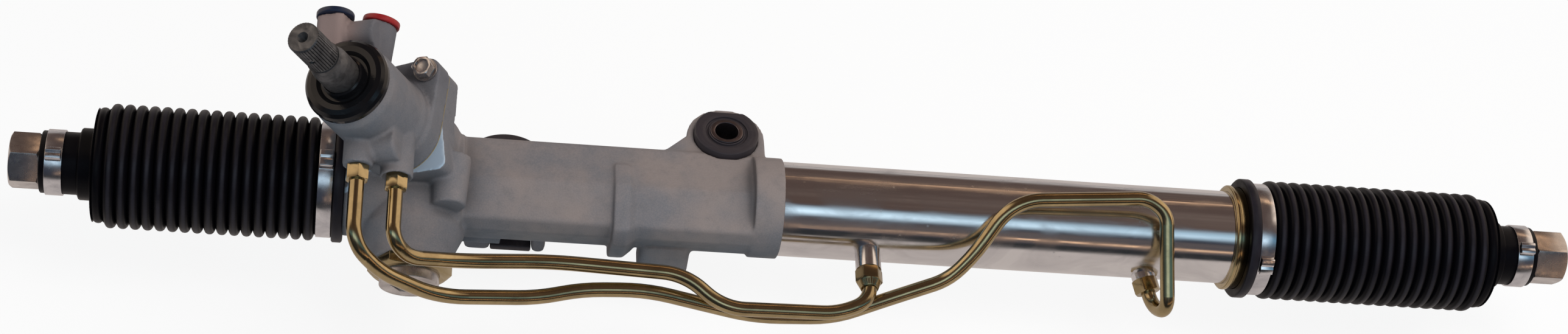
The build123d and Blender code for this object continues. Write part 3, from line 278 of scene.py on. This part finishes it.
def plated(name, light, dark, rough_low, rough_high, metallic=1.0, mark=14.0, grain=0.7, depth=0.05):
    """Plated or bare steel: cloudy tint, handling marks and a fine grain."""
    f = Finish(name)
    cloud = f.noise(mark, 4, 0.6, twist=0.6)
    fine = f.noise(grain, 3)
    marks = f.noise(mark / 4, 5, 0.65)
    base = f.mix(f.spread(cloud, 0.35, 0.68), light, dark)
    base = f.mix(f.spread(marks, 0.58, 0.8, 0, 0.3), base, [c * 0.65 for c in dark])
    f.relief(fine * 0.4 + marks * 0.4, 0.25, depth)
    return f.set(
        Base_Color=base,
        Metallic=metallic,
        Roughness=f.spread(cloud * 0.6 + marks * 0.4, 0.35, 0.65, rough_low, rough_high),
    )


def polished_steel():
    """Polished tube with smudges, wiping streaks and a few dull spots."""
    f = Finish("polished_steel")
    smudge = f.noise(30, 4, 0.6, stretch=(1.6, 1, 1), twist=1.0)
    wipe = f.noise(2.5, 3, 0.6, stretch=(14, 1, 1))
    specks = f.cells(9)
    base = f.mix(f.spread(smudge, 0.4, 0.7), [0.80, 0.79, 0.79], [0.66, 0.65, 0.66])
    rough = (
        f.spread(smudge, 0.4, 0.66, 0.09, 0.24)
        + f.spread(wipe, 0.45, 0.7, 0, 0.08)
        + f.spread(specks, 0.05, 0.1, 0.14, 0)
    )
    f.relief(wipe, 0.12, 0.02)
    return f.set(Base_Color=base, Metallic=1.0, Roughness=rough)


def boot_rubber():
    """Black rubber, glossier on the crests of the folds, with a painted sheen that makes the crests paler."""
    look = bpy.context.scene.rack_boots
    f = Finish("boot_rubber")
    reach = f.radius("Y", "Z", (RACK_Y, RACK_Z))
    top = look.crest_radius * IN_MM
    crest = f.spread(reach, top - 0.3, top - 0.02)
    cloud = f.noise(16, 4)
    fine = f.noise(0.6, 3)
    # painted sheen: the crests get a paler colour, as if they caught the light along the folds
    base = f.mix(crest * f.spread(cloud, 0.3, 0.7, 0.45, 1.0), [0.0026, 0.0024, 0.0036], list(look.crest_sheen_tint))
    f.relief(fine * 0.5 + cloud * 0.8, 0.25, 0.15)
    return f.set(
        Base_Color=base,
        Roughness=f.spread(cloud + fine * 0.4, 0.5, 0.9, 0.3, 0.5),
        Specular_IOR_Level=0.08,
        Coat_Weight=crest * 0.2,
        Coat_Roughness=0.32,
    )


def moulded(name, tint, rough_low, rough_high, rings=None, gap=2.6, shine=0.5):
    """Moulded rubber or plastic with scuffs, and rings round a centre where there are some."""
    f = Finish(name)
    cloud = f.noise(8, 4)
    fine = f.noise(0.7, 3)
    scuff = f.noise(3, 5, 0.7, stretch=(4, 1, 1))
    base = f.mix(f.spread(scuff, 0.6, 0.8, 0, 0.35), tint, [min(1.0, c * 1.6 + 0.03) for c in tint])
    height = fine * 0.4 + cloud * 0.3
    if rings:
        across = f.radius("X", "Y", rings)
        height = height + (across * (math.tau / gap)).math("SINE") * 0.5
    f.relief(height, 0.35, 0.2)
    return f.set(
        Base_Color=base,
        Roughness=f.spread(cloud * 0.6 + scuff * 0.4, 0.35, 0.65, rough_low, rough_high),
        Specular_IOR_Level=shine,
    )


def turned_steel(name, tint, rough_low, rough_high, axis="X", gap=0.7):
    """Steel with the fine rings that a lathe leaves along an axis."""
    f = Finish(name)
    rings = (f.part(axis) * (math.tau / gap) + f.noise(3) * 4).math("SINE")
    cloud = f.noise(11, 4)
    marks = f.noise(2.2, 5, 0.7)
    base = f.mix(f.spread(cloud, 0.35, 0.7), tint, [c * 0.66 for c in tint])
    base = f.mix(f.spread(marks, 0.6, 0.8, 0, 0.5), base, [c * 0.4 for c in tint])
    f.relief(rings * 0.3 + marks * 0.5, 0.2, 0.04)
    return f.set(
        Base_Color=base,
        Metallic=1.0,
        Roughness=f.spread(marks * 0.5 + cloud * 0.5, 0.35, 0.65, rough_low, rough_high),
    )


def finishes():
    """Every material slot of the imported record, with the finish that it gets."""
    bush_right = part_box("mount_sleeve_right")
    middle = (bush_right[0] + bush_right[1]) / 2
    return {
        "cast_alloy": cast_alloy(),
        "polished_steel": polished_steel(),
        "yellow_zinc": plated(
            "yellow_zinc", [0.50, 0.395, 0.215], [0.35, 0.275, 0.15], 0.12, 0.22, mark=18, depth=0.02
        ),
        "seal_rubber": moulded("seal_rubber", [0.012, 0.012, 0.013], 0.35, 0.5),
        "bush_rubber": moulded("bush_rubber", [0.030, 0.025, 0.030], 0.4, 0.6, (middle.x, middle.y)),
        "sleeve_steel": turned_steel("sleeve_steel", [0.17, 0.15, 0.165], 0.34, 0.5, "Z"),
        "gasket_fibre": moulded("gasket_fibre", [0.30, 0.235, 0.13], 0.55, 0.75),
        "zinc_steel": plated("zinc_steel", [0.70, 0.67, 0.65], [0.46, 0.43, 0.42], 0.18, 0.36),
        "gloss_black": moulded("gloss_black", [0.005, 0.005, 0.006], 0.08, 0.2, shine=0.3),
        "bearing_steel": turned_steel("bearing_steel", [0.66, 0.66, 0.67], 0.15, 0.3),
        "blue_plastic": moulded("blue_plastic", [0.008, 0.016, 0.042], 0.3, 0.45),
        "red_plastic": moulded("red_plastic", [0.32, 0.013, 0.015], 0.3, 0.45),
        "bar_steel": turned_steel("bar_steel", [0.60, 0.60, 0.61], 0.15, 0.32),
        "ring_plastic": moulded("ring_plastic", [0.20, 0.13, 0.07], 0.4, 0.6),
        "dark_steel": plated("dark_steel", [0.16, 0.16, 0.165], [0.07, 0.07, 0.075], 0.38, 0.6, 0.85, 6, 0.5, 0.12),
        "guide_alloy": plated("guide_alloy", [0.62, 0.62, 0.62], [0.48, 0.48, 0.48], 0.3, 0.45),
        "spring_steel": plated("spring_steel", [0.22, 0.22, 0.22], [0.12, 0.12, 0.12], 0.3, 0.45),
        "boot_rubber": boot_rubber(),
        "band_steel": plated("band_steel", [0.78, 0.78, 0.80], [0.55, 0.55, 0.58], 0.14, 0.3),
    }


def dress(piece, material, body):
    """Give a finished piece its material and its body."""
    piece.data.materials.clear()
    piece.data.materials.append(material)
    if body:
        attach(piece, body)


# Modelling helpers
def only(piece):
    """Select one piece and make it active."""
    bpy.ops.object.select_all(action="DESELECT")
    piece.select_set(True)
    bpy.context.view_layer.objects.active = piece


def apply(piece, kind, **settings):
    """Add a modifier to a piece and apply it."""
    only(piece)
    modifier = piece.modifiers.new(kind.title(), kind)
    for name, setting in settings.items():
        setattr(modifier, name, setting)
    bpy.ops.object.modifier_apply(modifier=modifier.name)


def start_ring(name, x, radius, sides):
    """A bare ring of vertices round the rack's axis."""
    bpy.ops.object.select_all(action="DESELECT")
    bpy.ops.mesh.primitive_circle_add(
        vertices=sides, radius=radius, location=(x, RACK_Y, RACK_Z), rotation=(0, math.pi / 2, 0)
    )
    piece = bpy.context.active_object
    piece.name = name
    bpy.ops.object.transform_apply(location=True, rotation=True, scale=True)
    return piece


def draw_out(profile):
    """Extrude the selected ring through a profile of places along the rack and radii."""
    for (x, radius), (next_x, next_radius) in zip(profile, profile[1:]):
        bpy.ops.mesh.extrude_region_move(TRANSFORM_OT_translate={"value": (next_x - x, 0, 0)})
        share = next_radius / radius
        bpy.ops.transform.resize(value=(1, share, share), center_override=(next_x, RACK_Y, RACK_Z))


def block(name, low, high, ease):
    """A box with rounded edges, between two corners."""
    low, high = Vector(low), Vector(high)
    bpy.ops.object.select_all(action="DESELECT")
    bpy.ops.mesh.primitive_cube_add(size=1, location=(low + high) / 2)
    piece = bpy.context.active_object
    piece.name = name
    piece.scale = high - low
    bpy.ops.object.transform_apply(location=True, rotation=True, scale=True)
    apply(piece, "BEVEL", width=ease, segments=3)
    return piece


def round_boss(name, start, way, radius, length):
    """A round bar from a place along a direction."""
    bpy.ops.object.select_all(action="DESELECT")
    bpy.ops.mesh.primitive_cylinder_add(
        vertices=64, radius=radius, depth=length, location=start + way * (length / 2),
        rotation=way.to_track_quat("Z", "Y").to_euler()
    )
    piece = bpy.context.active_object
    piece.name = name
    bpy.ops.object.transform_apply(location=True, rotation=True, scale=True)
    return piece


def slab(name, x, width, flank, corners):
    """A cast rib square to the rack: an outline in millimetres round the rack's axis, with a sloped flank."""
    bpy.ops.object.select_all(action="DESELECT")
    bpy.ops.mesh.primitive_circle_add(
        vertices=len(corners), radius=MM, fill_type="NGON", location=(x, RACK_Y, RACK_Z), rotation=(0, math.pi / 2, 0)
    )
    piece = bpy.context.active_object
    piece.name = name
    bpy.ops.object.transform_apply(location=True, rotation=True, scale=True)
    for vertex, (y, z) in zip(piece.data.vertices, corners):
        vertex.co = (x, RACK_Y + y * MM, RACK_Z + z * MM)
    bpy.ops.object.mode_set(mode="EDIT")
    bpy.ops.mesh.select_all(action="SELECT")
    bpy.ops.mesh.extrude_region_move(TRANSFORM_OT_translate={"value": (width, 0, 0)})
    bpy.ops.mesh.extrude_region_move(TRANSFORM_OT_translate={"value": (flank, 0, 0)})
    foot = (x + width + flank, RACK_Y - 8 * MM, RACK_Z)
    bpy.ops.transform.resize(value=(1, 0.8, 0.8), center_override=foot)
    bpy.ops.mesh.select_all(action="SELECT")
    bpy.ops.mesh.normals_make_consistent(inside=False)
    bpy.ops.object.mode_set(mode="OBJECT")
    return piece


def join(piece, extras):
    """Make the extras part of a piece."""
    only(piece)
    for extra in extras:
        extra.select_set(True)
    bpy.ops.object.join()


def pick_ring(piece, x):
    """Select only the vertices that lie at a place along the rack, in edit mode."""
    bpy.ops.mesh.select_all(action="DESELECT")
    bpy.ops.object.mode_set(mode="OBJECT")
    for vertex in piece.data.vertices:
        vertex.select = abs(vertex.co.x - x) < RING_REACH
    bpy.ops.object.mode_set(mode="EDIT")


class RACK_PG_boots(bpy.types.PropertyGroup):
    """Sizes of the bellows boots, and the tint of the sheen painted on their crests."""

    left_folds: bpy.props.IntProperty(
        name="Left folds", description="Folds of the left-hand boot", default=18, min=4
    )
    right_folds: bpy.props.IntProperty(
        name="Right folds", description="Folds of the right-hand boot", default=19, min=4
    )
    first_drop: bpy.props.FloatProperty(
        name="First fold", description="How much lower the fold next to the neck is", default=0.0024,
        subtype="DISTANCE", unit="LENGTH"
    )
    crest_radius: bpy.props.FloatProperty(
        name="Crest radius", description="Radius over the folds", default=0.0333, subtype="DISTANCE", unit="LENGTH"
    )
    root_radius: bpy.props.FloatProperty(
        name="Root radius", description="Radius between the folds", default=0.0296, subtype="DISTANCE", unit="LENGTH"
    )
    wall: bpy.props.FloatProperty(
        name="Wall", description="Thickness of the rubber", default=0.0014, subtype="DISTANCE", unit="LENGTH"
    )
    # colour of the painted sheen on the crests
    crest_sheen_tint: bpy.props.FloatVectorProperty(
        name="Crest tint", description="Colour of the sheen painted on the crests", default=(0.02, 0.0175, 0.0235), subtype="COLOR"
    )


class RACK_PG_casting(bpy.types.PropertyGroup):
    """Softness and colours of the castings."""

    voxel: bpy.props.FloatProperty(
        name="Grain of the skin",
        description="Spacing of the points that the softened skin is made of",
        default=0.001,
        subtype="DISTANCE",
        unit="LENGTH",
    )
    softening: bpy.props.IntProperty(
        name="Softening", description="How often the edges are smoothed", default=5, min=0, max=30
    )
    warm_tint: bpy.props.FloatVectorProperty(
        name="Warm tint", description="Colour of the warm patches", default=(0.265, 0.224, 0.212), subtype="COLOR"
    )
    cool_tint: bpy.props.FloatVectorProperty(
        name="Cool tint", description="Colour of the cool patches", default=(0.172, 0.172, 0.188), subtype="COLOR"
    )
    joint_height: bpy.props.FloatProperty(
        name="Joint", description="Place of the machined joint face along the input shaft", default=0.04,
        subtype="DISTANCE", unit="LENGTH"
    )


class RACK_PG_edges(bpy.types.PropertyGroup):
    """Widths of the rounded edges."""

    steel: bpy.props.FloatProperty(
        name="Steel edges", description="Rounding of the larger steel pieces", default=0.0004,
        subtype="DISTANCE", unit="LENGTH"
    )
    small: bpy.props.FloatProperty(
        name="Small edges", description="Rounding of the nuts and bands", default=0.0002,
        subtype="DISTANCE", unit="LENGTH"
    )
    moulded: bpy.props.FloatProperty(
        name="Moulded edges", description="Rounding of rubber and plastic", default=0.0006,
        subtype="DISTANCE", unit="LENGTH"
    )


class RACK_PG_stage(bpy.types.PropertyGroup):
    """Light of the studio."""

    key_power: bpy.props.FloatProperty(
        name="Key light", description="Power of the large lamp above", default=12.5, unit="POWER"
    )
    fill_power: bpy.props.FloatProperty(
        name="Fill light", description="Power of the lamp in front", default=6.0, unit="POWER"
    )
    sky_level: bpy.props.FloatProperty(
        name="Sky light", description="Strength of the even light from all around", default=0.36
    )
    floor_tint: bpy.props.FloatVectorProperty(
        name="Floor", description="Colour that the floor throws back onto the object",
        default=(0.22, 0.40, 0.52), subtype="COLOR"
    )


class RACK_OT_boots(bpy.types.Operator):
    """Model the two bellows boots, which stretch between the housing and the rack"""

    bl_idname = "steering_rack.boots"
    bl_label = "Bellows boots"

    def execute(self, context):
        look = context.scene.rack_boots
        self.boot("boot_left", -1, look.left_folds, 20 * MM, 28.5 * MM, look)
        self.boot("boot_right", 1, look.right_folds, 20 * MM, 28.7 * MM, look)
        return {"FINISHED"}

    def boot(self, node, outward, folds, tail, seat, look):
        """One boot: its folds, its neck on the rack end and its cuff and lip on the seat."""
        low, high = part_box(node)
        big, small = (high.x, low.x) if outward < 0 else (low.x, high.x)
        neck = 16.7 * MM
        cuff = big + outward * 15 * MM
        collar_foot = small - outward * tail
        collar = collar_foot - outward * 8 * MM
        pitch = (collar - cuff) / folds
        root, crest = look.root_radius, look.crest_radius
        fold = [
            (0.0, 0.0), (0.04, 0.24), (0.10, 0.52), (0.19, 0.78), (0.31, 0.94), (0.44, 1.0),
            (0.56, 1.0), (0.69, 0.94), (0.81, 0.78), (0.90, 0.52), (0.96, 0.24), (1.0, 0.0),
        ]
        profile = [(cuff + pitch * share, root + (crest - root) * height) for share, height in fold]
        piece = start_ring(node + "_bellows", profile[0][0], profile[0][1], 96)
        bpy.ops.object.mode_set(mode="EDIT")
        bpy.ops.mesh.select_all(action="SELECT")
        draw_out(profile)
        bpy.ops.object.mode_set(mode="OBJECT")
        apply(
            piece,
            "ARRAY",
            count=folds,
            use_relative_offset=False,
            use_constant_offset=True,
            constant_offset_displace=(pitch, 0, 0),
            use_merge_vertices=True,
            merge_threshold=0.05 * MM,
        )
        bpy.ops.object.mode_set(mode="EDIT")
        last = collar - pitch
        share = 1 - look.first_drop / crest
        for x in [last + pitch * part for part, height in fold if height > 0.5]:
            pick_ring(piece, x)
            bpy.ops.transform.resize(value=(1, share, share), center_override=(x, RACK_Y, RACK_Z))
        pick_ring(piece, collar)
        draw_out(
            [
                (collar, root), (collar + outward * 0.2 * MM, 21.4 * MM),
                (collar + outward * 0.8 * MM, 19.9 * MM), (collar + outward * 1.8 * MM, 19.3 * MM),
                (collar_foot - outward * 1.0 * MM, 19.3 * MM), (collar_foot - outward * 0.3 * MM, 18.9 * MM),
                (collar_foot, 18.2 * MM), (collar_foot + outward * 0.4 * MM, neck + 0.2 * MM),
                (collar_foot + outward * 1.2 * MM, neck), (small - outward * 0.5 * MM, neck),
                (small, neck - 0.5 * MM), (small, neck - 1.6 * MM),
            ]
        )
        pick_ring(piece, cuff)
        lip = 33.5 * MM
        draw_out(
            [
                (cuff, root), (cuff - outward * 0.3 * MM, seat + 1.6 * MM),
                (cuff - outward * 1.2 * MM, seat + 1.8 * MM),
                (big + outward * 6.6 * MM, seat + 1.8 * MM), (big + outward * 6.1 * MM, seat + 2.3 * MM),
                (big + outward * 5.9 * MM, lip - 0.8 * MM), (big + outward * 5.2 * MM, lip),
                (big + outward * 0.9 * MM, lip), (big + outward * 0.2 * MM, lip - 0.7 * MM),
                (big, lip - 1.5 * MM), (big, seat + 0.2 * MM),
            ]
        )
        bpy.ops.mesh.select_all(action="SELECT")
        bpy.ops.mesh.remove_doubles(threshold=RING_REACH)
        bpy.ops.mesh.normals_make_consistent(inside=False)
        bpy.ops.object.mode_set(mode="OBJECT")
        apply(piece, "SOLIDIFY", thickness=look.wall, offset=-1.0)
        bpy.ops.object.shade_smooth_by_angle(angle=math.radians(50))
        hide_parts(node)
        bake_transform(piece)
        dress(piece, bpy.data.materials["boot_rubber"], None)


class RACK_OT_castings(bpy.types.Operator):
    """Give the two castings the soft edges that a sand mould leaves"""

    bl_idname = "steering_rack.castings"
    bl_label = "Castings"

    def rib_and_feet(self):
        """The rib's upper end on top of the beam, and the two feet of the left-hand bracket."""
        outline = [
            (9.5, 15.0), (8.5, 18.6), (6.0, 20.2), (-9.0, 20.6), (-32.0, 8.4), (-31.0, 5.0), (-20.0, 4.0), (-8.0, 12.0)
        ]
        rib = slab("rib_top", -62.5 * MM, 8 * MM, 5 * MM, outline)
        x, front, floor = bush_place.x, bush_place.y - 27.5 * MM, bush_low.z - FEET_DROP
        top, ease = floor + 13 * MM, 3 * MM
        left = block("foot_left", (x - 21 * MM, front, floor), (x - 6 * MM, front + 14 * MM, top), ease)
        right = block("foot_right", (x + 17 * MM, front, floor), (x + 25 * MM, front + 16 * MM, top), ease)
        return [rib, left, right]

    def cross_boss(self):
        """The round boss that lies across the two pipe bosses."""
        start = pinion_place + shaft * 73 * MM - side * 2 * MM - away * 22.5 * MM
        return [round_boss("cross_boss", start, side, 9.0 * MM, 18.5 * MM)]

    def execute(self, context):
        look = context.scene.rack_casting
        extras = {"rack_housing": self.rib_and_feet(), "valve_housing": self.cross_boss()}
        for node in ("rack_housing", "valve_housing"):
            piece = bpy.data.objects.new(node + "_cast", nodes[node].data.copy())
            context.scene.collection.objects.link(piece)
            only(piece)
            bpy.ops.object.mode_set(mode="EDIT")
            bpy.ops.mesh.select_all(action="SELECT")
            bpy.ops.mesh.remove_doubles(threshold=WELD)
            bpy.ops.object.mode_set(mode="OBJECT")
            join(piece, extras[node])
            apply(piece, "REMESH", mode="VOXEL", voxel_size=look.voxel)
            apply(piece, "SMOOTH", factor=0.5, iterations=look.softening)
            count = sum(len(face.vertices) - 2 for face in piece.data.polygons)
            if count > MOST_TRIANGLES:
                apply(piece, "DECIMATE", decimate_type="COLLAPSE", ratio=MOST_TRIANGLES / count)
            only(piece)
            bpy.ops.object.shade_smooth()
            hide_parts(node)
            dress(piece, bpy.data.materials["cast_alloy"], "housing")
        return {"FINISHED"}


class RACK_OT_edges(bpy.types.Operator):
    """Round the sharp edges of the turned, pressed and moulded pieces"""

    bl_idname = "steering_rack.edges"
    bl_label = "Edges"

    def execute(self, context):
        look = context.scene.rack_edges
        steel = ("rack_end_left", "rack_end_right", "guide_lock_nut", "valve_housing_bolts", "mount_sleeve_right",
                 "mount_sleeve_left", "cylinder_end_ring", "guide_cap")
        small = ("flare_nut_left", "flare_nut_right", "flare_nut_port_a", "flare_nut_port_b", "clamp_large_left",
                 "clamp_large_right", "clamp_small_left", "clamp_small_right")
        moulds = ("mount_bush_right", "mount_bush_left", "port_cap_blue", "port_cap_red")
        for names, width in ((steel, look.steel), (small, look.small), (moulds, look.moulded)):
            for node in names:
                self.soften(context, node, width)
        return {"FINISHED"}

    def soften(self, context, node, width):
        """Replace a solid by its copy with rounded edges."""
        piece = bpy.data.objects.new(node + "_eased", nodes[node].data.copy())
        context.scene.collection.objects.link(piece)
        only(piece)
        bpy.ops.object.mode_set(mode="EDIT")
        bpy.ops.mesh.select_all(action="SELECT")
        bpy.ops.mesh.remove_doubles(threshold=WELD)
        bpy.ops.mesh.dissolve_limited(angle_limit=math.radians(0.8))
        bpy.ops.object.mode_set(mode="OBJECT")
        apply(piece, "BEVEL", width=width, segments=2, limit_method="ANGLE", angle_limit=math.radians(28))
        if node == "mount_bush_left":
            x, front, floor = bush_place.x, bush_place.y - 26.5 * MM, bush_low.z - FEET_DROP
            corner = (x + 17 * MM, front + 12 * MM, floor + 4 * MM)
            join(piece, [block("bush_lip", (x - 6 * MM, front, floor), corner, 1.2 * MM)])
        only(piece)
        bpy.ops.object.shade_smooth_by_angle(angle=math.radians(40))
        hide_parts(node)
        slot = "yellow_zinc" if node == "guide_lock_nut" else slot_of[node]
        dress(piece, bpy.data.materials[slot], body_of[node])


class RACK_OT_finishes(bpy.types.Operator):
    """Make every finish and give each solid the one that its slot names"""

    bl_idname = "steering_rack.finishes"
    bl_label = "Finishes"

    def execute(self, context):
        made = finishes()
        for entry in frame["record"]["subparts"]:
            piece = nodes[entry["node"]]
            piece.data.materials.clear()
            piece.data.materials.append(made[entry["material_slot"]])
        return {"FINISHED"}


class RACK_OT_stage(bpy.types.Operator):
    """Set the pale floor, the soft lamps and the camera"""

    bl_idname = "steering_rack.stage"
    bl_label = "Studio"

    def execute(self, context):
        look = context.scene.rack_stage
        low, high = solid_box
        centre = (low + high) / 2
        bpy.ops.object.select_all(action="DESELECT")
        bpy.ops.mesh.primitive_plane_add(size=9, location=(centre.x, centre.y, low.z - 0.5 * MM))
        floor = context.active_object
        floor.name = "floor"
        floor.data.materials.append(self.floor_material(list(look.floor_tint)))
        self.lamp("key", (0.55, -0.45, 1.4), centre, 0.8, look.key_power, (1.0, 0.965, 0.93))
        self.lamp("fill", (-0.4, -1.5, 0.6), centre, 1.1, look.fill_power, (0.74, 0.89, 1.0))
        self.lamp("back", (0.5, 1.3, 0.9), centre, 1.2, look.fill_power * 0.45, (1.0, 0.97, 0.94))
        self.sky(context, look.sky_level)
        self.camera(context)
        context.scene.view_settings.view_transform = "Standard"
        return {"FINISHED"}

    def sky(self, context, level):
        """White to the camera, plain light on the object, and a dark room with one window in its metals."""
        world = bpy.data.worlds.new("studio")
        context.scene.world = world
        world.use_nodes = True
        g = Graph(world.node_tree)
        way = g.node("ShaderNodeTexCoord", output="Generated")
        height = g.node("ShaderNodeSeparateXYZ", None, {"Vector": way}, output="Z")
        depth = g.node("ShaderNodeSeparateXYZ", None, {"Vector": way}, output="Y")
        across = g.node("ShaderNodeSeparateXYZ", None, {"Vector": way}, output="X")
        angle = g.node("ShaderNodeMath", {"operation": "ARCTAN2"}, {0: height, 1: depth * -1.0})
        cloud = g.node("ShaderNodeTexNoise", None, {"Vector": way, "Scale": 2.6, "Detail": 3.0})
        # walls from low in front, over the top, to low behind
        room = g.mix(g.spread(angle, 0.4, 1.1), [0.042, 0.048, 0.066], [0.10, 0.068, 0.058])
        room = g.mix(g.spread(cloud, 0.5, 0.7, 0, 0.6), room, [0.22, 0.17, 0.145])
        room = g.mix(g.spread(angle, 2.9, 3.05), room, [0.50, 0.46, 0.44])
        # window with its halo, and the lines of lamps under and beyond it
        off = (angle - 0.80).math("ABSOLUTE")
        halo = g.spread(off, 0.07, 0.34, 1, 0)
        reach = across.math("ABSOLUTE")
        window = g.spread(off, 0.03, 0.24, 1, 0) * g.spread(cloud, 0.3, 0.62, 0.4, 1.0)
        window = window * g.spread(reach, 0.36, 0.52, 1, 0) * g.spread(across, -0.2, 0.4, 1.0, 0.6)
        beads = g.node("ShaderNodeTexNoise", None, {"Vector": way, "Scale": 9.0, "Detail": 2.0})
        lamps = g.spread((angle - 0.12).math("ABSOLUTE"), 0.02, 0.09, 1, 0)
        lamps = lamps + g.spread((angle - 2.33).math("ABSOLUTE"), 0.02, 0.12, 0.9, 0)
        lamps = lamps * g.spread(across, -0.12, 0.16)
        room = g.mix(halo * halo * 0.8, room, [0.16, 0.36, 0.52])
        room = g.mix(lamps * g.spread(beads, 0.42, 0.58), room, [2.0, 1.25, 0.75])
        room = g.mix(window, room, [1.2, 1.5, 1.7])
        # warm walls at both sides, behind the object
        beside = g.spread(reach, 0.42, 0.55) * g.spread(depth, -0.15, 0.02)
        room = g.mix(beside, room, [1.05, 0.86, 0.70])
        plain = g.node("ShaderNodeBackground", None, {"Color": (0.96, 0.96, 0.97, 1), "Strength": level})
        mirrored = g.node("ShaderNodeBackground", None, {"Color": room, "Strength": 1.0})
        white = g.node("ShaderNodeBackground", None, {"Color": (1, 1, 1, 1), "Strength": 1.0})
        camera = g.node("ShaderNodeLightPath", output="Is Camera Ray")
        glossy = g.node("ShaderNodeLightPath", output="Is Glossy Ray")
        lit = g.node("ShaderNodeMixShader", None, {0: glossy, 1: plain, 2: mirrored})
        shown = g.node("ShaderNodeMixShader", None, {0: camera, 1: lit, 2: white})
        feed(g.tree, world.node_tree.nodes["World Output"].inputs["Surface"], shown)

    def floor_material(self, tint):
        """White to the camera but for the object's shadow, and a warm table top in the object's metals."""
        f = Finish("floor")
        speck = f.noise(60, 2)
        camera = f.node("ShaderNodeLightPath", output="Is Camera Ray")
        cloth = f.mix(f.spread(speck, 0.3, 0.7, 0, 0.25), tint, [0.30, 0.28, 0.27])
        surface = f.set(Base_Color=f.mix(camera, cloth, [1.0, 1.0, 1.0]), Roughness=0.9, Specular_IOR_Level=0.2)
        glossy = f.node("ShaderNodeLightPath", output="Is Glossy Ray")
        table = f.spread(f.part("Y"), -330, -230)
        glow = f.node("ShaderNodeEmission", None, {"Color": (1, 1, 1, 1), "Strength": 1.0})
        wood = f.mix(table, [0.03, 0.032, 0.035], [0.56, 0.50, 0.47])
        top = f.node("ShaderNodeEmission", None, {"Color": wood, "Strength": 1.0})
        shade = Value(f.tree, f.shader.outputs[0])
        both = f.node("ShaderNodeMixShader", None, {0: camera * 0.88, 1: shade, 2: glow})
        both = f.node("ShaderNodeMixShader", None, {0: glossy, 1: both, 2: top})
        feed(f.tree, f.tree.nodes["Material Output"].inputs["Surface"], both)
        return surface

    def lamp(self, name, place, target, size, power, tint):
        """A square lamp that looks at a target and doesn't show in the object's metals."""
        bpy.ops.object.light_add(type="AREA", location=place)
        lamp = bpy.context.active_object
        lamp.name = name
        lamp.rotation_euler = (target - Vector(place)).to_track_quat("-Z", "Y").to_euler()
        lamp.data.shape = "SQUARE"
        lamp.data.size = size
        lamp.data.energy = power
        lamp.data.color = tint
        lamp.visible_glossy = False

    def camera(self, context):
        """The photograph's view: from the front, 45 degrees down, nearly square to the rack."""
        right = Vector((0.988, -0.0513, 0.1449)).normalized()
        back = Vector((-0.139, -0.7002, 0.7002))
        back = (back - right * back.dot(right)).normalized()
        up = back.cross(right)
        bpy.ops.object.camera_add(location=(-0.1863, -1.1177, 1.1374))
        camera = context.active_object
        camera.rotation_euler = Matrix((right, up, back)).transposed().to_euler()
        camera.data.sensor_fit = "HORIZONTAL"
        camera.data.sensor_width = 36.0
        camera.data.lens = 65.3
        camera.data.clip_start = 0.05
        camera.data.clip_end = 30.0
        context.scene.camera = camera


class RACK_PT_panel(bpy.types.Panel):
    """Steps that build the steering rack"""

    bl_label = "Steering rack"
    bl_idname = "RACK_PT_panel"
    bl_space_type = "VIEW_3D"
    bl_region_type = "UI"
    bl_category = "Steering rack"

    def draw(self, context):
        for step in STEPS:
            self.layout.operator(step.bl_idname)
        for group in GROUPS:
            settings = getattr(context.scene, group)
            for name in settings.__annotations__:
                self.layout.prop(settings, name)


STEPS = (RACK_OT_stage, RACK_OT_finishes, RACK_OT_castings, RACK_OT_boots, RACK_OT_edges)
GROUPS = {
    "rack_boots": RACK_PG_boots,
    "rack_casting": RACK_PG_casting,
    "rack_edges": RACK_PG_edges,
    "rack_stage": RACK_PG_stage,
}


def register():
    for kind in (*GROUPS.values(), *STEPS, RACK_PT_panel):
        bpy.utils.register_class(kind)
    for name, kind in GROUPS.items():
        setattr(bpy.types.Scene, name, bpy.props.PointerProperty(type=kind))


def unregister():
    for name in GROUPS:
        delattr(bpy.types.Scene, name)
    for kind in reversed((*GROUPS.values(), *STEPS, RACK_PT_panel)):
        bpy.utils.unregister_class(kind)


def main():
    """Build everything in order."""
    register()
    for step in STEPS:
        space, name = step.bl_idname.split(".")
        getattr(getattr(bpy.ops, space), name)()


if __name__ == "__main__":
    main()
